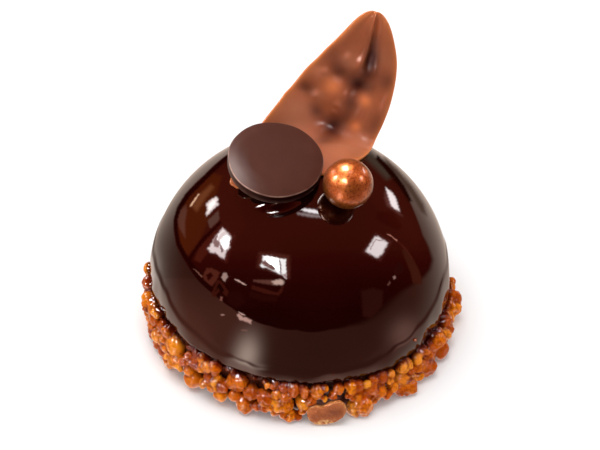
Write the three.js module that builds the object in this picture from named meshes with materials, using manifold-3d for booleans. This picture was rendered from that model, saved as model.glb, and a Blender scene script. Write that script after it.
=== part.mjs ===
// Bombe cake: a mirror-glazed chocolate half-sphere on a ring of caramelised nuts,
// topped with a chocolate leaf, a chocolate disc and a bronze-coloured pearl.
// Millimetres, +Z up, origin at the middle of the base, on the surface it stands on.
import * as THREE from 'three';
import * as BufferGeometryUtils from 'three/addons/utils/BufferGeometryUtils.js';
import Module from 'manifold-3d';

// ---------------------------------------------------------------- driving dimensions

const GAP = 0.3; // clearance between pieces that touch
const FACET_ALLOWANCE = 0.05; // more of it, as flat faces bulge past the true round
const TABLE_GAP = 0.05; // least height of a piece of nut over the table

const DOME = {
  radius: 40, // half-sphere mould of 80 mm
  centreHeight: 10, // centre of the sphere above the table
  rimRise: 0.5, // rim above the sphere's centre, on the axis
  rimSlope: -0.083, // the rim falls towards +X, as the cake sits slightly askew
  fillet: 1.4, // rounded lower edge of the glaze
  footHeight: 7.4, // mean height of the thicker foot of glaze above the rim
  footWave: 0.7, // how far its upper edge wanders
  footWaves: [[5, 0.6, 0.45], [11, 2.1, 0.35], [23, 4.0, 0.2]], // waves round it, phase, share
  footStep: 0.4, // the sphere ends this far above that edge, and the foot this far below
  footProud: 0.35, // how far it stands proud of the sphere
  footSide: 3.4, // below the edge, where it has fallen back to
  footSideProud: 0.75, // this share of footProud
  footRimProud: 0.6, // the same at the fillet
  segments: 64,
  rings: 10,
};

const CORE = {
  radius: 38,
  edge: 0.8, // chamfer at the table
  intoDome: 6, // how far it runs up past the sphere's centre before the dome is cut out of it
  segments: 40,
};

const NUTS = {
  rows: [
    // count round the ring, radius of a piece, distance from the axis, how far it is lifted at
    // random, seed
    { name: 'lower', count: 38, size: 3.5, reach: 39.3, lift: 0.3, seed: 11 },
    { name: 'upper', count: 38, size: 3.4, reach: 39.3, lift: 0.7, seed: 24 },
    { name: 'middle', count: 36, size: 3.1, reach: 39.5, lift: 0.6, seed: 37 },
  ],
  rowSpread: { angle: 0.2, size: 0.16, reach: 0.5 }, // shares of a step, of the size, and mm
  bits: { count: 10, size: 1.6, reach: 40.2, lowest: 1.2, belowRim: 1.4, seed: 53 },
  bitSpread: { angle: 0.4, size: 0.25, reach: 0.5 },
  standing: 0.92, // centre of a lower piece above the table, in its radius
  middleFrom: 11.8, // rim height from which a middle row fits
  belowRim: 2.0, // centre of an upper piece below the rim
};

const NUT_SHAPES = {
  // a piece is the hull of a few balls: how many, how far out, their radius and its spread
  roundShare: 0.45, // share of the pieces that are round
  round: { lobes: 1, away: 0.1, radius: 0.98, radiusSpread: 0 },
  lumpy: { lobes: 4, away: 0.36, radius: 0.68, radiusSpread: 0.14 },
  leastReach: 0.7,
  squash: [[1, 0.14], [0.96, 0.12], [0.9, 0.14]], // mean stretch and its spread, along X, Y, Z
};

const DISC = {
  radius: 11.9,
  thickness: 2.9,
  bevel: 0.3,
  segments: 48,
  top: [-5.84, -5.4, 55.2], // middle of the upper face
  normal: [0.111, -0.215, 0.97],
};

const PEARL = { radius: 6.25, centre: [11.89, -12.87, 53.13], segments: [24, 14] };

const LEAF = {
  // the leaf is a sheet in the plane (along, up), bent over the glaze and standing behind the disc
  turn: 18, // direction of its along axis, degrees from +X
  lean: 68, // slope of the standing blade, degrees
  bend: 7, // radius between the lying and the standing part
  over: 0.85, // middle of the lying part above the glaze
  stand: [12, 47], // a point of the blade: distance behind the axis, height over the centre
  spine: [[-17.4, -20], [-5, -13.8], [8.5, -6.8], [16.5, 1.5], [22.1, 9.9], [27, 21.3]],
  halfWidth: [0.8, 6.6, 10, 12.5, 13.9, 13.6, 12.9, 11.6, 9.85, 6.8, 0.9],
  thickness: 1.25,
  edge: 0.75, // thickness at the rim
  curl: 1.6, // lift of the base end off the glaze
  curlEnd: 0.22, // place along the leaf where that lift has ended
  widestLying: 38, // beyond this distance along, the lying part no longer turns with the sphere
  leastHalfWidth: 0.55,
  steps: 26,
  across: 11,
};

const RELIEF = {
  length: 63, // length of the spine
  from: [0.36, 0.46], // stretch of the leaf over which the relief sets in
  fade: { from: 0.82, share: 0.7 }, // it loses this share from there out to the edges
  rib: { height: 0.45, width: 0.07, from: [0.38, 0.46] },
  crease: { depth: 1.3, across: -0.2, width: 0.13, from: [0.7, 0.8], to: [0.94, 1] },
  dents: [
    // place along the leaf 0..1, across -1..1, depth (mm, + is away from the viewer), radius (mm)
    { along: 0.671, across: -0.185, depth: 2.1, radius: 3.6 },
    { along: 0.449, across: -0.144, depth: 1.9, radius: 3.2 },
    { along: 0.531, across: 0.804, depth: 0.9, radius: 2.8 },
    { along: 0.466, across: 0.317, depth: 0.8, radius: 2.6 },
    { along: 0.69, across: 0.391, depth: 1.3, radius: 2.7 },
    { along: 0.777, across: 0.869, depth: 0.8, radius: 3.0 },
    { along: 0.8, across: 0.42, depth: 0.5, radius: 2.6 },
    { along: 0.7, across: -0.8, depth: 0.5, radius: 3.0 },
    { along: 0.6, across: 0.347, depth: -0.9, radius: 3.0 },
    { along: 0.619, across: -0.43, depth: -0.7, radius: 2.6 },
    { along: 0.5, across: -0.62, depth: -0.5, radius: 3.4 },
  ],
};

const FLAT_PIECE = {
  width: 10,
  height: 6.0,
  thickness: 2.2,
  bevel: 0.5,
  centre: [6.9, -41.7, 3.4],
  leanBack: 14, // degrees
  roll: 9, // degrees, its right end higher
};

// ---------------------------------------------------------------- helpers

const wasm = await Module();
wasm.setup();

/** Repeatable number in 0..1 for a piece and a draw. */
function draw(piece, number) {
  const value = Math.sin(piece * 127.1 + number * 311.7) * 43758.5453;
  return value - Math.floor(value);
}

/** Repeatable number in -1..1. */
function spread(piece, number) {
  return draw(piece, number) * 2 - 1;
}

function smoothstep(low, high, value) {
  const t = THREE.MathUtils.clamp((value - low) / (high - low), 0, 1);
  return t * t * (3 - 2 * t);
}

function toManifold(geometry) {
  const bare = geometry.clone();
  bare.deleteAttribute('normal');
  bare.deleteAttribute('uv');
  const merged = BufferGeometryUtils.mergeVertices(bare, 1e-4);
  return new wasm.Manifold(new wasm.Mesh({
    numProp: 3,
    vertProperties: Float32Array.from(merged.attributes.position.array),
    triVerts: Uint32Array.from(merged.index.array),
  }));
}

function fromManifold(solid) {
  const mesh = solid.getMesh();
  const geometry = new THREE.BufferGeometry();
  geometry.setAttribute('position', new THREE.BufferAttribute(mesh.vertProperties, mesh.numProp));
  geometry.setIndex(new THREE.BufferAttribute(mesh.triVerts, 1));
  geometry.computeVertexNormals();
  return geometry;
}

/** The main body, without loose scraps that touch nothing. */
function largestBody(solid) {
  const bodies = solid.decompose();
  return bodies.reduce((best, body) => (body.volume() > best.volume() ? body : best));
}

function geometryFrom(points, triangles) {
  const geometry = new THREE.BufferGeometry();
  const flat = points.flatMap((p) => [p.x, p.y, p.z]);
  geometry.setAttribute('position', new THREE.Float32BufferAttribute(flat, 3));
  geometry.setIndex(triangles.flat());
  geometry.computeVertexNormals();
  return geometry;
}

/** Closed body from rings of points that run from a first pole to a last pole. */
function closedRings(firstPole, rings, lastPole) {
  const count = rings[0].length;
  const points = [firstPole, ...rings.flat(), lastPole];
  const last = points.length - 1;
  const at = (ring, i) => 1 + ring * count + (i % count);
  const triangles = [];
  for (let i = 0; i < count; i++) {
    triangles.push([0, at(0, i), at(0, i + 1)]);
    for (let ring = 0; ring + 1 < rings.length; ring++) {
      triangles.push([at(ring, i), at(ring + 1, i), at(ring + 1, i + 1)]);
      triangles.push([at(ring, i), at(ring + 1, i + 1), at(ring, i + 1)]);
    }
    triangles.push([last, at(rings.length - 1, i + 1), at(rings.length - 1, i)]);
  }
  return geometryFrom(points, triangles);
}

/** Value of a smooth curve through evenly spaced values, at t in 0..1. */
function throughValues(values, t) {
  const x = THREE.MathUtils.clamp(t, 0, 1) * (values.length - 1);
  const i = Math.min(Math.floor(x), values.length - 2);
  const f = x - i;
  const before = values[i - 1] ?? 2 * values[i] - values[i + 1];
  const after = values[i + 2] ?? 2 * values[i + 1] - values[i];
  const [b, c] = [values[i], values[i + 1]];
  return 0.5 * (2 * b + (c - before) * f + (2 * before - 5 * b + 4 * c - after) * f * f
    + (3 * b - before - 3 * c + after) * f * f * f);
}

// ---------------------------------------------------------------- dome

/** Height of the dome's rim above the table at a place. */
function rimHeight(x) {
  return DOME.centreHeight + DOME.rimRise + DOME.rimSlope * x;
}

/** Height above the rim of the upper edge of the thicker foot. */
function footEdge(angle) {
  let wave = 0;
  for (const [waves, phase, share] of DOME.footWaves) {
    wave += share * Math.sin(waves * angle + phase);
  }
  return DOME.footHeight + DOME.footWave * wave;
}

/** The glazed half-sphere; grow makes a larger copy that cuts its neighbours clear of it. */
function domeGeometry(grow) {
  const rings = [];
  const radius = DOME.radius + grow;
  const fillet = DOME.fillet + grow;
  const ringAt = (heightAndProud) => {
    const ring = [];
    for (let i = 0; i < DOME.segments; i++) {
      const angle = (2 * Math.PI * i) / DOME.segments;
      const rim = DOME.rimRise + DOME.rimSlope * DOME.radius * Math.cos(angle) - grow;
      const [height, proud, inset] = heightAndProud(angle, rim);
      const reach = Math.sqrt(radius ** 2 - Math.max(height, rim + fillet) ** 2) + proud - inset;
      ring.push(new THREE.Vector3(
        reach * Math.cos(angle), reach * Math.sin(angle), DOME.centreHeight + height));
    }
    return ring;
  };
  for (let k = 1; k <= DOME.rings; k++) {
    const share = k / DOME.rings;
    rings.push(ringAt((angle, rim) => {
      const edge = Math.asin((rim + footEdge(angle) + DOME.footStep) / radius);
      const latitude = Math.PI / 2 + (edge - Math.PI / 2) * share;
      return [radius * Math.sin(latitude), 0, 0];
    }));
  }
  for (const [below, share] of [[DOME.footStep, 1], [DOME.footSide, DOME.footSideProud]]) {
    rings.push(ringAt((angle, rim) => [rim + footEdge(angle) - below, DOME.footProud * share, 0]));
  }
  for (const turn of [0, 30, 60, 90]) {
    const t = THREE.MathUtils.degToRad(turn);
    rings.push(ringAt((angle, rim) => [
      rim + fillet * (1 - Math.sin(t)),
      DOME.footProud * DOME.footRimProud,
      fillet * (1 - Math.cos(t)),
    ]));
  }
  const top = new THREE.Vector3(0, 0, DOME.centreHeight + radius);
  const under = new THREE.Vector3(0, 0, rimHeight(0) - grow);
  return closedRings(top, rings, under);
}

// ---------------------------------------------------------------- ring of nuts

/** Lumpy piece: the outer hull of a few balls round its middle, squashed and turned. */
function nutGeometry(id, size) {
  const geometry = new THREE.DodecahedronGeometry(1);
  const kind = draw(id, 1) < NUT_SHAPES.roundShare ? NUT_SHAPES.round : NUT_SHAPES.lumpy;
  const lobes = [];
  for (let k = 0; k < kind.lobes; k++) {
    lobes.push({
      middle: new THREE.Vector3(spread(id, 10 + k), spread(id, 20 + k), spread(id, 30 + k))
        .normalize().multiplyScalar(kind.away),
      radius: kind.radius + kind.radiusSpread * draw(id, 40 + k),
    });
  }
  const squash = new THREE.Vector3(
    ...NUT_SHAPES.squash.map(([mean, range], axis) => mean + range * spread(id, 2 + axis)));
  const turned = new THREE.Quaternion().setFromEuler(new THREE.Euler(
    Math.PI * spread(id, 5), Math.PI * spread(id, 6), Math.PI * spread(id, 7)));
  const position = geometry.attributes.position;
  const p = new THREE.Vector3();
  for (let i = 0; i < position.count; i++) {
    p.fromBufferAttribute(position, i).normalize();
    let reach = NUT_SHAPES.leastReach;
    for (const lobe of lobes) {
      const along = p.dot(lobe.middle);
      const inside = along ** 2 - lobe.middle.lengthSq() + lobe.radius ** 2;
      if (inside > 0) {
        reach = Math.max(reach, along + Math.sqrt(inside));
      }
    }
    p.multiplyScalar(reach * size).multiply(squash).applyQuaternion(turned);
    position.setXYZ(i, p.x, p.y, p.z);
  }
  return geometry;
}

/** Moves a piece to its place and keeps it on the table. */
function placeNut(geometry, angle, reach, height) {
  geometry.translate(reach * Math.cos(angle), reach * Math.sin(angle), height);
  const position = geometry.attributes.position;
  for (let i = 0; i < position.count; i++) {
    position.setZ(i, Math.max(position.getZ(i), TABLE_GAP));
  }
  return geometry;
}

/** Where every piece of a row lies: id, angle, reach, height, size. */
function rowPlaces(row) {
  const places = [];
  const jitter = NUTS.rowSpread;
  for (let i = 0; i < row.count; i++) {
    const id = row.seed * 100 + i;
    const step = i + 0.5 * (row.seed % 2) + jitter.angle * spread(id, 8);
    const angle = (2 * Math.PI * step) / row.count;
    const size = row.size * (1 + jitter.size * spread(id, 9));
    const reach = row.reach + jitter.reach * spread(id, 12);
    const rim = rimHeight(reach * Math.cos(angle));
    const heights = {
      lower: size * NUTS.standing + row.lift * draw(id, 13),
      upper: Math.max(rim - NUTS.belowRim + row.lift * spread(id, 13), size),
      middle: rim * 0.5 + row.lift * spread(id, 13),
    };
    if (row.name !== 'middle' || rim > NUTS.middleFrom) {
      places.push({ id, angle, reach, height: heights[row.name], size });
    }
  }
  return places;
}

/** Small bits scattered over the outside of the ring. */
function bitPlaces() {
  const places = [];
  const { count, size, reach, lowest, belowRim, seed } = NUTS.bits;
  const jitter = NUTS.bitSpread;
  for (let i = 0; i < count; i++) {
    const id = seed * 100 + i;
    const angle = (2 * Math.PI * (i + jitter.angle * spread(id, 8))) / count;
    const rim = rimHeight(reach * Math.cos(angle));
    places.push({
      id,
      angle,
      reach: reach + jitter.reach * spread(id, 12),
      height: lowest + (rim - lowest - belowRim) * draw(id, 13),
      size: size * (1 + jitter.size * spread(id, 9)),
    });
  }
  return places;
}

function nutBaseGeometry(flatPieceCutter) {
  const { radius, edge, intoDome, segments } = CORE;
  const top = DOME.centreHeight + intoDome;
  const profile = [[0, 0], [radius - edge, 0], [radius, edge], [radius, top], [0, top]];
  const core = new THREE.LatheGeometry(profile.map(([x, y]) => new THREE.Vector2(x, y)), segments);
  core.rotateX(Math.PI / 2);
  let solid = toManifold(core);
  for (const row of NUTS.rows) {
    for (const nut of rowPlaces(row)) {
      const geometry = nutGeometry(nut.id, nut.size);
      solid = solid.add(toManifold(placeNut(geometry, nut.angle, nut.reach, nut.height)));
    }
  }
  for (const bit of bitPlaces()) {
    const geometry = nutGeometry(bit.id, bit.size);
    solid = solid.add(toManifold(placeNut(geometry, bit.angle, bit.reach, bit.height)));
  }
  solid = solid.subtract(toManifold(domeGeometry(GAP + FACET_ALLOWANCE)));
  solid = solid.subtract(toManifold(flatPieceCutter));
  return fromManifold(largestBody(solid));
}

// ---------------------------------------------------------------- flat piece of nut

/** Bean-shaped flat piece that leans on the ring; grow makes the larger copy that clears it. */
function flatPieceGeometry(grow) {
  const w = FLAT_PIECE.width / 2 + grow - FLAT_PIECE.bevel;
  const h = FLAT_PIECE.height / 2 + grow - FLAT_PIECE.bevel;
  const shape = new THREE.Shape();
  shape.moveTo(-w, 0.1 * h);
  shape.bezierCurveTo(-w, 0.9 * h, -0.55 * w, 1.05 * h, -0.3 * w, 0.72 * h);
  shape.bezierCurveTo(-0.05 * w, 0.62 * h, 0.15 * w, 1.1 * h, 0.55 * w, h);
  shape.bezierCurveTo(1.02 * w, 0.9 * h, 1.06 * w, 0.1 * h, 0.8 * w, -0.4 * h);
  shape.bezierCurveTo(0.5 * w, -0.95 * h, -0.3 * w, -1.1 * h, -0.7 * w, -0.75 * h);
  shape.bezierCurveTo(-0.95 * w, -0.5 * h, -w, -0.2 * h, -w, 0.1 * h);
  const geometry = new THREE.ExtrudeGeometry(shape, {
    depth: FLAT_PIECE.thickness + 2 * grow - 2 * FLAT_PIECE.bevel,
    bevelSize: FLAT_PIECE.bevel,
    bevelThickness: FLAT_PIECE.bevel,
    bevelSegments: 1,
    curveSegments: 5,
  });
  geometry.translate(0, 0, -(FLAT_PIECE.thickness + 2 * grow) / 2 + FLAT_PIECE.bevel);
  geometry.rotateZ(THREE.MathUtils.degToRad(FLAT_PIECE.roll));
  geometry.rotateX(THREE.MathUtils.degToRad(90 - FLAT_PIECE.leanBack));
  geometry.translate(...FLAT_PIECE.centre);
  return geometry;
}

// ---------------------------------------------------------------- disc and pearl

function discGeometry() {
  const { radius, thickness, bevel, segments } = DISC;
  const profile = [
    [0, -thickness], [radius - bevel, -thickness], [radius, bevel - thickness],
    [radius, -bevel], [radius - bevel, 0], [0, 0],
  ];
  const geometry = new THREE.LatheGeometry(
    profile.map(([x, y]) => new THREE.Vector2(x, y)), segments);
  return geometry.rotateX(Math.PI / 2);
}

// ---------------------------------------------------------------- leaf

/** Cross-section of the bent sheet at a distance along it: circle, fillet, straight blade. */
function leafPoint(along, up) {
  const lean = THREE.MathUtils.degToRad(LEAF.lean);
  const direction = new THREE.Vector2(Math.cos(lean), Math.sin(lean));
  const side = new THREE.Vector2(-Math.sin(lean), Math.cos(lean));
  const stand = new THREE.Vector2(...LEAF.stand);
  const aside = Math.min(Math.abs(along), LEAF.widestLying);
  const lying = Math.sqrt((DOME.radius + LEAF.over) ** 2 - aside ** 2);
  const middle = stand.clone().addScaledVector(side, LEAF.bend);
  const b = middle.dot(direction);
  const reach = lying + LEAF.bend;
  const bendStart = -b + Math.sqrt(b * b - middle.lengthSq() + reach ** 2);
  const bendMiddle = middle.addScaledVector(direction, bendStart);
  const firstAngle = Math.atan2(-side.y, -side.x);
  const touch = Math.atan2(bendMiddle.y, bendMiddle.x);
  const sweep = (firstAngle + 2 * Math.PI - (touch + Math.PI)) % (2 * Math.PI);
  const below = bendStart - up;
  let section;
  if (below <= 0) {
    section = stand.addScaledVector(direction, up);
  } else if (below <= LEAF.bend * sweep) {
    const angle = firstAngle - below / LEAF.bend;
    section = bendMiddle.add(
      new THREE.Vector2(Math.cos(angle), Math.sin(angle)).multiplyScalar(LEAF.bend));
  } else {
    const angle = touch + (below - LEAF.bend * sweep) / lying;
    section = new THREE.Vector2(Math.cos(angle), Math.sin(angle)).multiplyScalar(lying);
  }
  const turn = THREE.MathUtils.degToRad(LEAF.turn);
  return new THREE.Vector3(
    along * Math.cos(turn) - section.x * Math.sin(turn),
    along * Math.sin(turn) + section.x * Math.cos(turn),
    section.y);
}

/** Place on the leaf's spine at t, in the (along, up) plane. */
function spineAt(t) {
  const [along, up] = [0, 1].map((axis) => LEAF.spine.map((point) => point[axis]));
  return new THREE.Vector2(throughValues(along, t), throughValues(up, t));
}

/** Middle surface of the leaf at t along the spine and v across it, over the sphere's centre. */
function leafMiddle(t, v) {
  const step = 0.002;
  const onSpine = spineAt(t);
  const heading = spineAt(Math.min(t + step, 1)).sub(spineAt(Math.max(t - step, 0))).normalize();
  const square = throughValues(LEAF.halfWidth.map((w) => w * w), t);
  const aside = Math.sqrt(Math.max(square, LEAF.leastHalfWidth ** 2)) * v;
  const point = leafPoint(onSpine.x - heading.y * aside, onSpine.y + heading.x * aside);
  const curl = LEAF.curl * (1 - smoothstep(0, LEAF.curlEnd, t));
  return point.multiplyScalar(1 + curl / DOME.radius);
}

/** Height of a bell-shaped bump of height 1 at a distance from its middle. */
function bell(distance, radius) {
  return Math.exp(-((distance / radius) ** 2));
}

/** Relief of the leaf, + away from the viewer: a raised rib, a crease beside it, hollows, bumps. */
function leafRelief(t, v) {
  const { length, from, fade, rib, crease, dents } = RELIEF;
  let relief = -rib.height * bell(v, rib.width) * smoothstep(...rib.from, t);
  relief += crease.depth * bell(v - crease.across, crease.width)
    * smoothstep(...crease.from, t) * (1 - smoothstep(...crease.to, t));
  const width = throughValues(LEAF.halfWidth, t);
  for (const dent of dents) {
    const away = Math.hypot((t - dent.along) * length, (v - dent.across) * width);
    relief += dent.depth * bell(away, dent.radius);
  }
  return relief * (1 - fade.share * smoothstep(fade.from, 1, Math.abs(v))) * smoothstep(...from, t);
}

/** Places along the leaf from 0 to 1, closer together at both ends. */
function placeAlong(share) {
  return 0.5 - 0.5 * Math.cos(Math.PI * share) * (1 - 0.25 * Math.sin(Math.PI * share));
}

/** Half the leaf's thickness, which thins towards its sides and ends. */
function halfThickness(t, v) {
  const full = Math.sqrt(Math.max(1 - Math.abs(v) ** 6, 0)) * smoothstep(-0.02, 0.06, t)
    * (1 - smoothstep(0.94, 1.02, t));
  return 0.5 * (LEAF.edge + (LEAF.thickness - LEAF.edge) * full);
}

function leafGeometry() {
  const { steps, across } = LEAF;
  const centre = new THREE.Vector3(0, 0, DOME.centreHeight);
  const front = [];
  const back = [];
  for (let i = 0; i <= steps; i++) {
    const t = placeAlong(i / steps);
    for (let j = 0; j <= across; j++) {
      const v = Math.sin((Math.PI / 2) * ((2 * j) / across - 1));
      const here = leafMiddle(t, v);
      const alongT = leafMiddle(Math.min(t + 0.01, 1), v).sub(leafMiddle(Math.max(t - 0.01, 0), v));
      const alongV = leafMiddle(t, Math.min(v + 0.02, 1)).sub(leafMiddle(t, Math.max(v - 0.02, -1)));
      const normal = alongT.cross(alongV).normalize();
      here.addScaledVector(normal, -leafRelief(t, v));
      const half = halfThickness(t, v);
      front.push(here.clone().addScaledVector(normal, half).add(centre));
      back.push(here.clone().addScaledVector(normal, -half).add(centre));
    }
  }
  const row = across + 1;
  const shift = front.length;
  const triangles = [];
  for (let i = 0; i < steps; i++) {
    for (let j = 0; j < across; j++) {
      const [a, b, c, d] = [i * row + j, (i + 1) * row + j, (i + 1) * row + j + 1, i * row + j + 1];
      triangles.push([a, b, c], [a, c, d], [c + shift, b + shift, a + shift]);
      triangles.push([d + shift, c + shift, a + shift]);
    }
  }
  const border = [];
  for (let j = 0; j < across; j++) {
    border.push(j);
  }
  for (let i = 0; i < steps; i++) {
    border.push(i * row + across);
  }
  for (let j = across; j > 0; j--) {
    border.push(steps * row + j);
  }
  for (let i = steps; i > 0; i--) {
    border.push(i * row);
  }
  border.forEach((from, i) => {
    const to = border[(i + 1) % border.length];
    triangles.push([from, to, to + shift], [from, to + shift, from + shift]);
  });
  return geometryFrom([...front, ...back], triangles);
}

// ---------------------------------------------------------------- assembly

const group = new THREE.Group();

function addPiece(name, geometry, color, roughness, metalness) {
  const material = new THREE.MeshStandardMaterial({ color, roughness, metalness });
  const mesh = new THREE.Mesh(geometry, material);
  mesh.name = name;
  group.add(mesh);
  return mesh;
}

addPiece('dome', domeGeometry(0), 0x2a0f0a, 0.06, 0);
addPiece('nut_base', nutBaseGeometry(flatPieceGeometry(GAP)), 0xb8601c, 0.3, 0);
addPiece('flat_piece', flatPieceGeometry(0), 0x9a5028, 0.6, 0);
addPiece('leaf', leafGeometry(), 0xa05a32, 0.4, 0);

const disc = addPiece('disc', discGeometry(), 0x4a2a24, 0.45, 0);
disc.position.set(...DISC.top);
disc.quaternion.setFromUnitVectors(
  new THREE.Vector3(0, 0, 1), new THREE.Vector3(...DISC.normal).normalize());

const ball = new THREE.SphereGeometry(PEARL.radius, ...PEARL.segments);
const pearl = addPiece('pearl', ball, 0xb86a30, 0.35, 0.7);
pearl.position.set(...PEARL.centre);

export default group;
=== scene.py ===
"""Looks of the bombe cake: pieces, materials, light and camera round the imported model.

Lengths are millimetres in this file and are turned into metres as meshes are made.
"""
import math

import bmesh
import bpy
import numpy as np
from mathutils import Matrix, Vector, noise


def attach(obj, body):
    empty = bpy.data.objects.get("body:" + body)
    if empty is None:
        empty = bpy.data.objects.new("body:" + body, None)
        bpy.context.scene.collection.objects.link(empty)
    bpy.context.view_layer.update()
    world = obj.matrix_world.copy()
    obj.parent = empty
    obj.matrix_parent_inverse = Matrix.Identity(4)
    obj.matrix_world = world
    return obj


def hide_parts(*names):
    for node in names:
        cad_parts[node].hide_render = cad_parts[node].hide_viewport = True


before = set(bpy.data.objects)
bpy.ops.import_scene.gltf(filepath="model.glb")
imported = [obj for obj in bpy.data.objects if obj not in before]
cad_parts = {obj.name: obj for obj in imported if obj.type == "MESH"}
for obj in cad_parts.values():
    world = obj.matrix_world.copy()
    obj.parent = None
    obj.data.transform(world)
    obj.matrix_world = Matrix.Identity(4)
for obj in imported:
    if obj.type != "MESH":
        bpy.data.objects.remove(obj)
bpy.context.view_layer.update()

MM = 0.001

# ---------------------------------------------------------------- camera

PHOTO_WIDTH, PHOTO_HEIGHT = 600, 450
FOCAL_PX = 1643.0  # fitted to the dome's outline and rim
SENSOR_MM = 36.0
CAMERA_AT = Vector((0.0, -324.4, 307.26))
CAMERA_TO = Vector((0.16, 9.485, 20.695))
CAMERA_TURN = (CAMERA_TO - CAMERA_AT).to_track_quat("-Z", "Y")
CLIP_START = 10.0


def new_object(name, data):
    """Object of the scene that holds a mesh, a light or a camera."""
    item = bpy.data.objects.new(name, data)
    bpy.context.scene.collection.objects.link(item)
    return item


def make_camera():
    data = bpy.data.cameras.new("camera")
    data.sensor_width = SENSOR_MM
    data.lens = FOCAL_PX / PHOTO_WIDTH * SENSOR_MM
    data.clip_start = CLIP_START * MM
    camera = new_object("camera", data)
    camera.location = CAMERA_AT * MM
    camera.rotation_euler = CAMERA_TURN.to_euler()
    bpy.context.scene.camera = camera


def pixel_ray(x, y):
    """Direction from the camera through a pixel of the photograph."""
    ray = Vector((x - PHOTO_WIDTH / 2, PHOTO_HEIGHT / 2 - y, -FOCAL_PX))
    return (CAMERA_TURN @ ray).normalized()


make_camera()

# ---------------------------------------------------------------- shared shape helpers


def draw(piece, number):
    """Repeatable number in 0..1 for a piece and a draw."""
    value = math.sin(piece * 127.1 + number * 311.7) * 43758.5453
    return value - math.floor(value)


def spread(piece, number):
    """Repeatable number in -1..1."""
    return draw(piece, number) * 2 - 1


def smoothstep(low, high, value):
    t = np.clip((np.asarray(value, float) - low) / (high - low), 0, 1)
    return t * t * (3 - 2 * t)


def bell(distance, radius):
    """1 in the middle and near 0 from two radii on."""
    return np.exp(-((distance / radius) ** 2))


def bell_at(angle, degrees, width):
    """Bell round a direction, with its place and width in degrees."""
    return bell(angle - math.radians(degrees), math.radians(width))


def waves(angle, table):
    """Sum of waves round the cake, each with its depth, its number of crests and its phase."""
    return sum(depth * np.sin(number * angle + phase) for depth, number, phase in table)


def even_angles(count):
    """Angles all the way round, from 0 on."""
    return np.arange(count) * 2 * math.pi / count


def ring_at(angle, reach, height):
    """Ring of points round the upright axis."""
    return np.stack([reach * np.cos(angle), reach * np.sin(angle), height + 0 * angle], 1)


def fractal(points, scale, octaves, shift=Vector((0, 0, 0))):
    """Rough relief, about -1..1, at each point."""
    return np.array([noise.fractal(Vector(p) * scale + shift, 1.0, 2.0, octaves)
                     for p in points.tolist()])


def colour_layer(red, green, blue):
    return np.stack([red, green, blue, np.ones(len(red))], 1)


def through_values(values, t):
    """Smooth curve through evenly spaced values, for an array t in 0..1."""
    values = np.asarray(values, float)
    padded = np.concatenate([[2 * values[0] - values[1]], values, [2 * values[-1] - values[-2]]])
    x = np.clip(t, 0, 1) * (len(values) - 1)
    i = np.minimum(np.floor(x).astype(int), len(values) - 2)
    f = x - i
    a, b, c, d = (padded[i + k] for k in range(4))
    return 0.5 * (2 * b + (c - a) * f + (2 * a - 5 * b + 4 * c - d) * f * f
                  + (3 * b - a - 3 * c + d) * f**3)


def mesh_object(name, points, faces, material, colours=None):
    """Mesh from points in millimetres, with a layer of colours at its points for each name."""
    mesh = bpy.data.meshes.new(name)
    mesh.from_pydata((np.asarray(points, float) * MM).tolist(), [], faces)
    for layer, values in (colours or {}).items():
        attribute = mesh.color_attributes.new(layer, "FLOAT_COLOR", "POINT")
        attribute.data.foreach_set("color", np.asarray(values, np.float32).ravel())
    mesh.materials.append(material)
    return new_object(name, mesh)


def mesh_piece(name, points, faces, material, replaces=(), colours=None):
    """One smooth piece that rides on the cake."""
    piece = mesh_object(name, points, faces, material, colours)
    piece.data.shade_smooth()
    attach(piece, "root")
    if replaces:
        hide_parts(*replaces)


def closed_rings(rings, first_height, last_height):
    """Points and faces of a closed skin: rings between two poles on the upright axis."""
    points = np.concatenate([[[0, 0, first_height]], *rings, [[0, 0, last_height]]])
    count = len(rings[0])
    end = 1 + (len(rings) - 1) * count
    faces = []
    for i in range(count):
        j = (i + 1) % count
        faces.append((0, 1 + i, 1 + j))
        for a in range(1, end, count):
            faces.append((a + i, a + count + i, a + count + j, a + j))
        faces.append((end + count, end + j, end + i))
    if first_height < last_height:
        faces = [tuple(reversed(face)) for face in faces]
    return points, faces


def with_poles(values, first=0, last=0):
    """The values of all rings, with one for the pole at each end."""
    return np.concatenate([[first], *values, [last]])


# ---------------------------------------------------------------- material helpers


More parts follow.
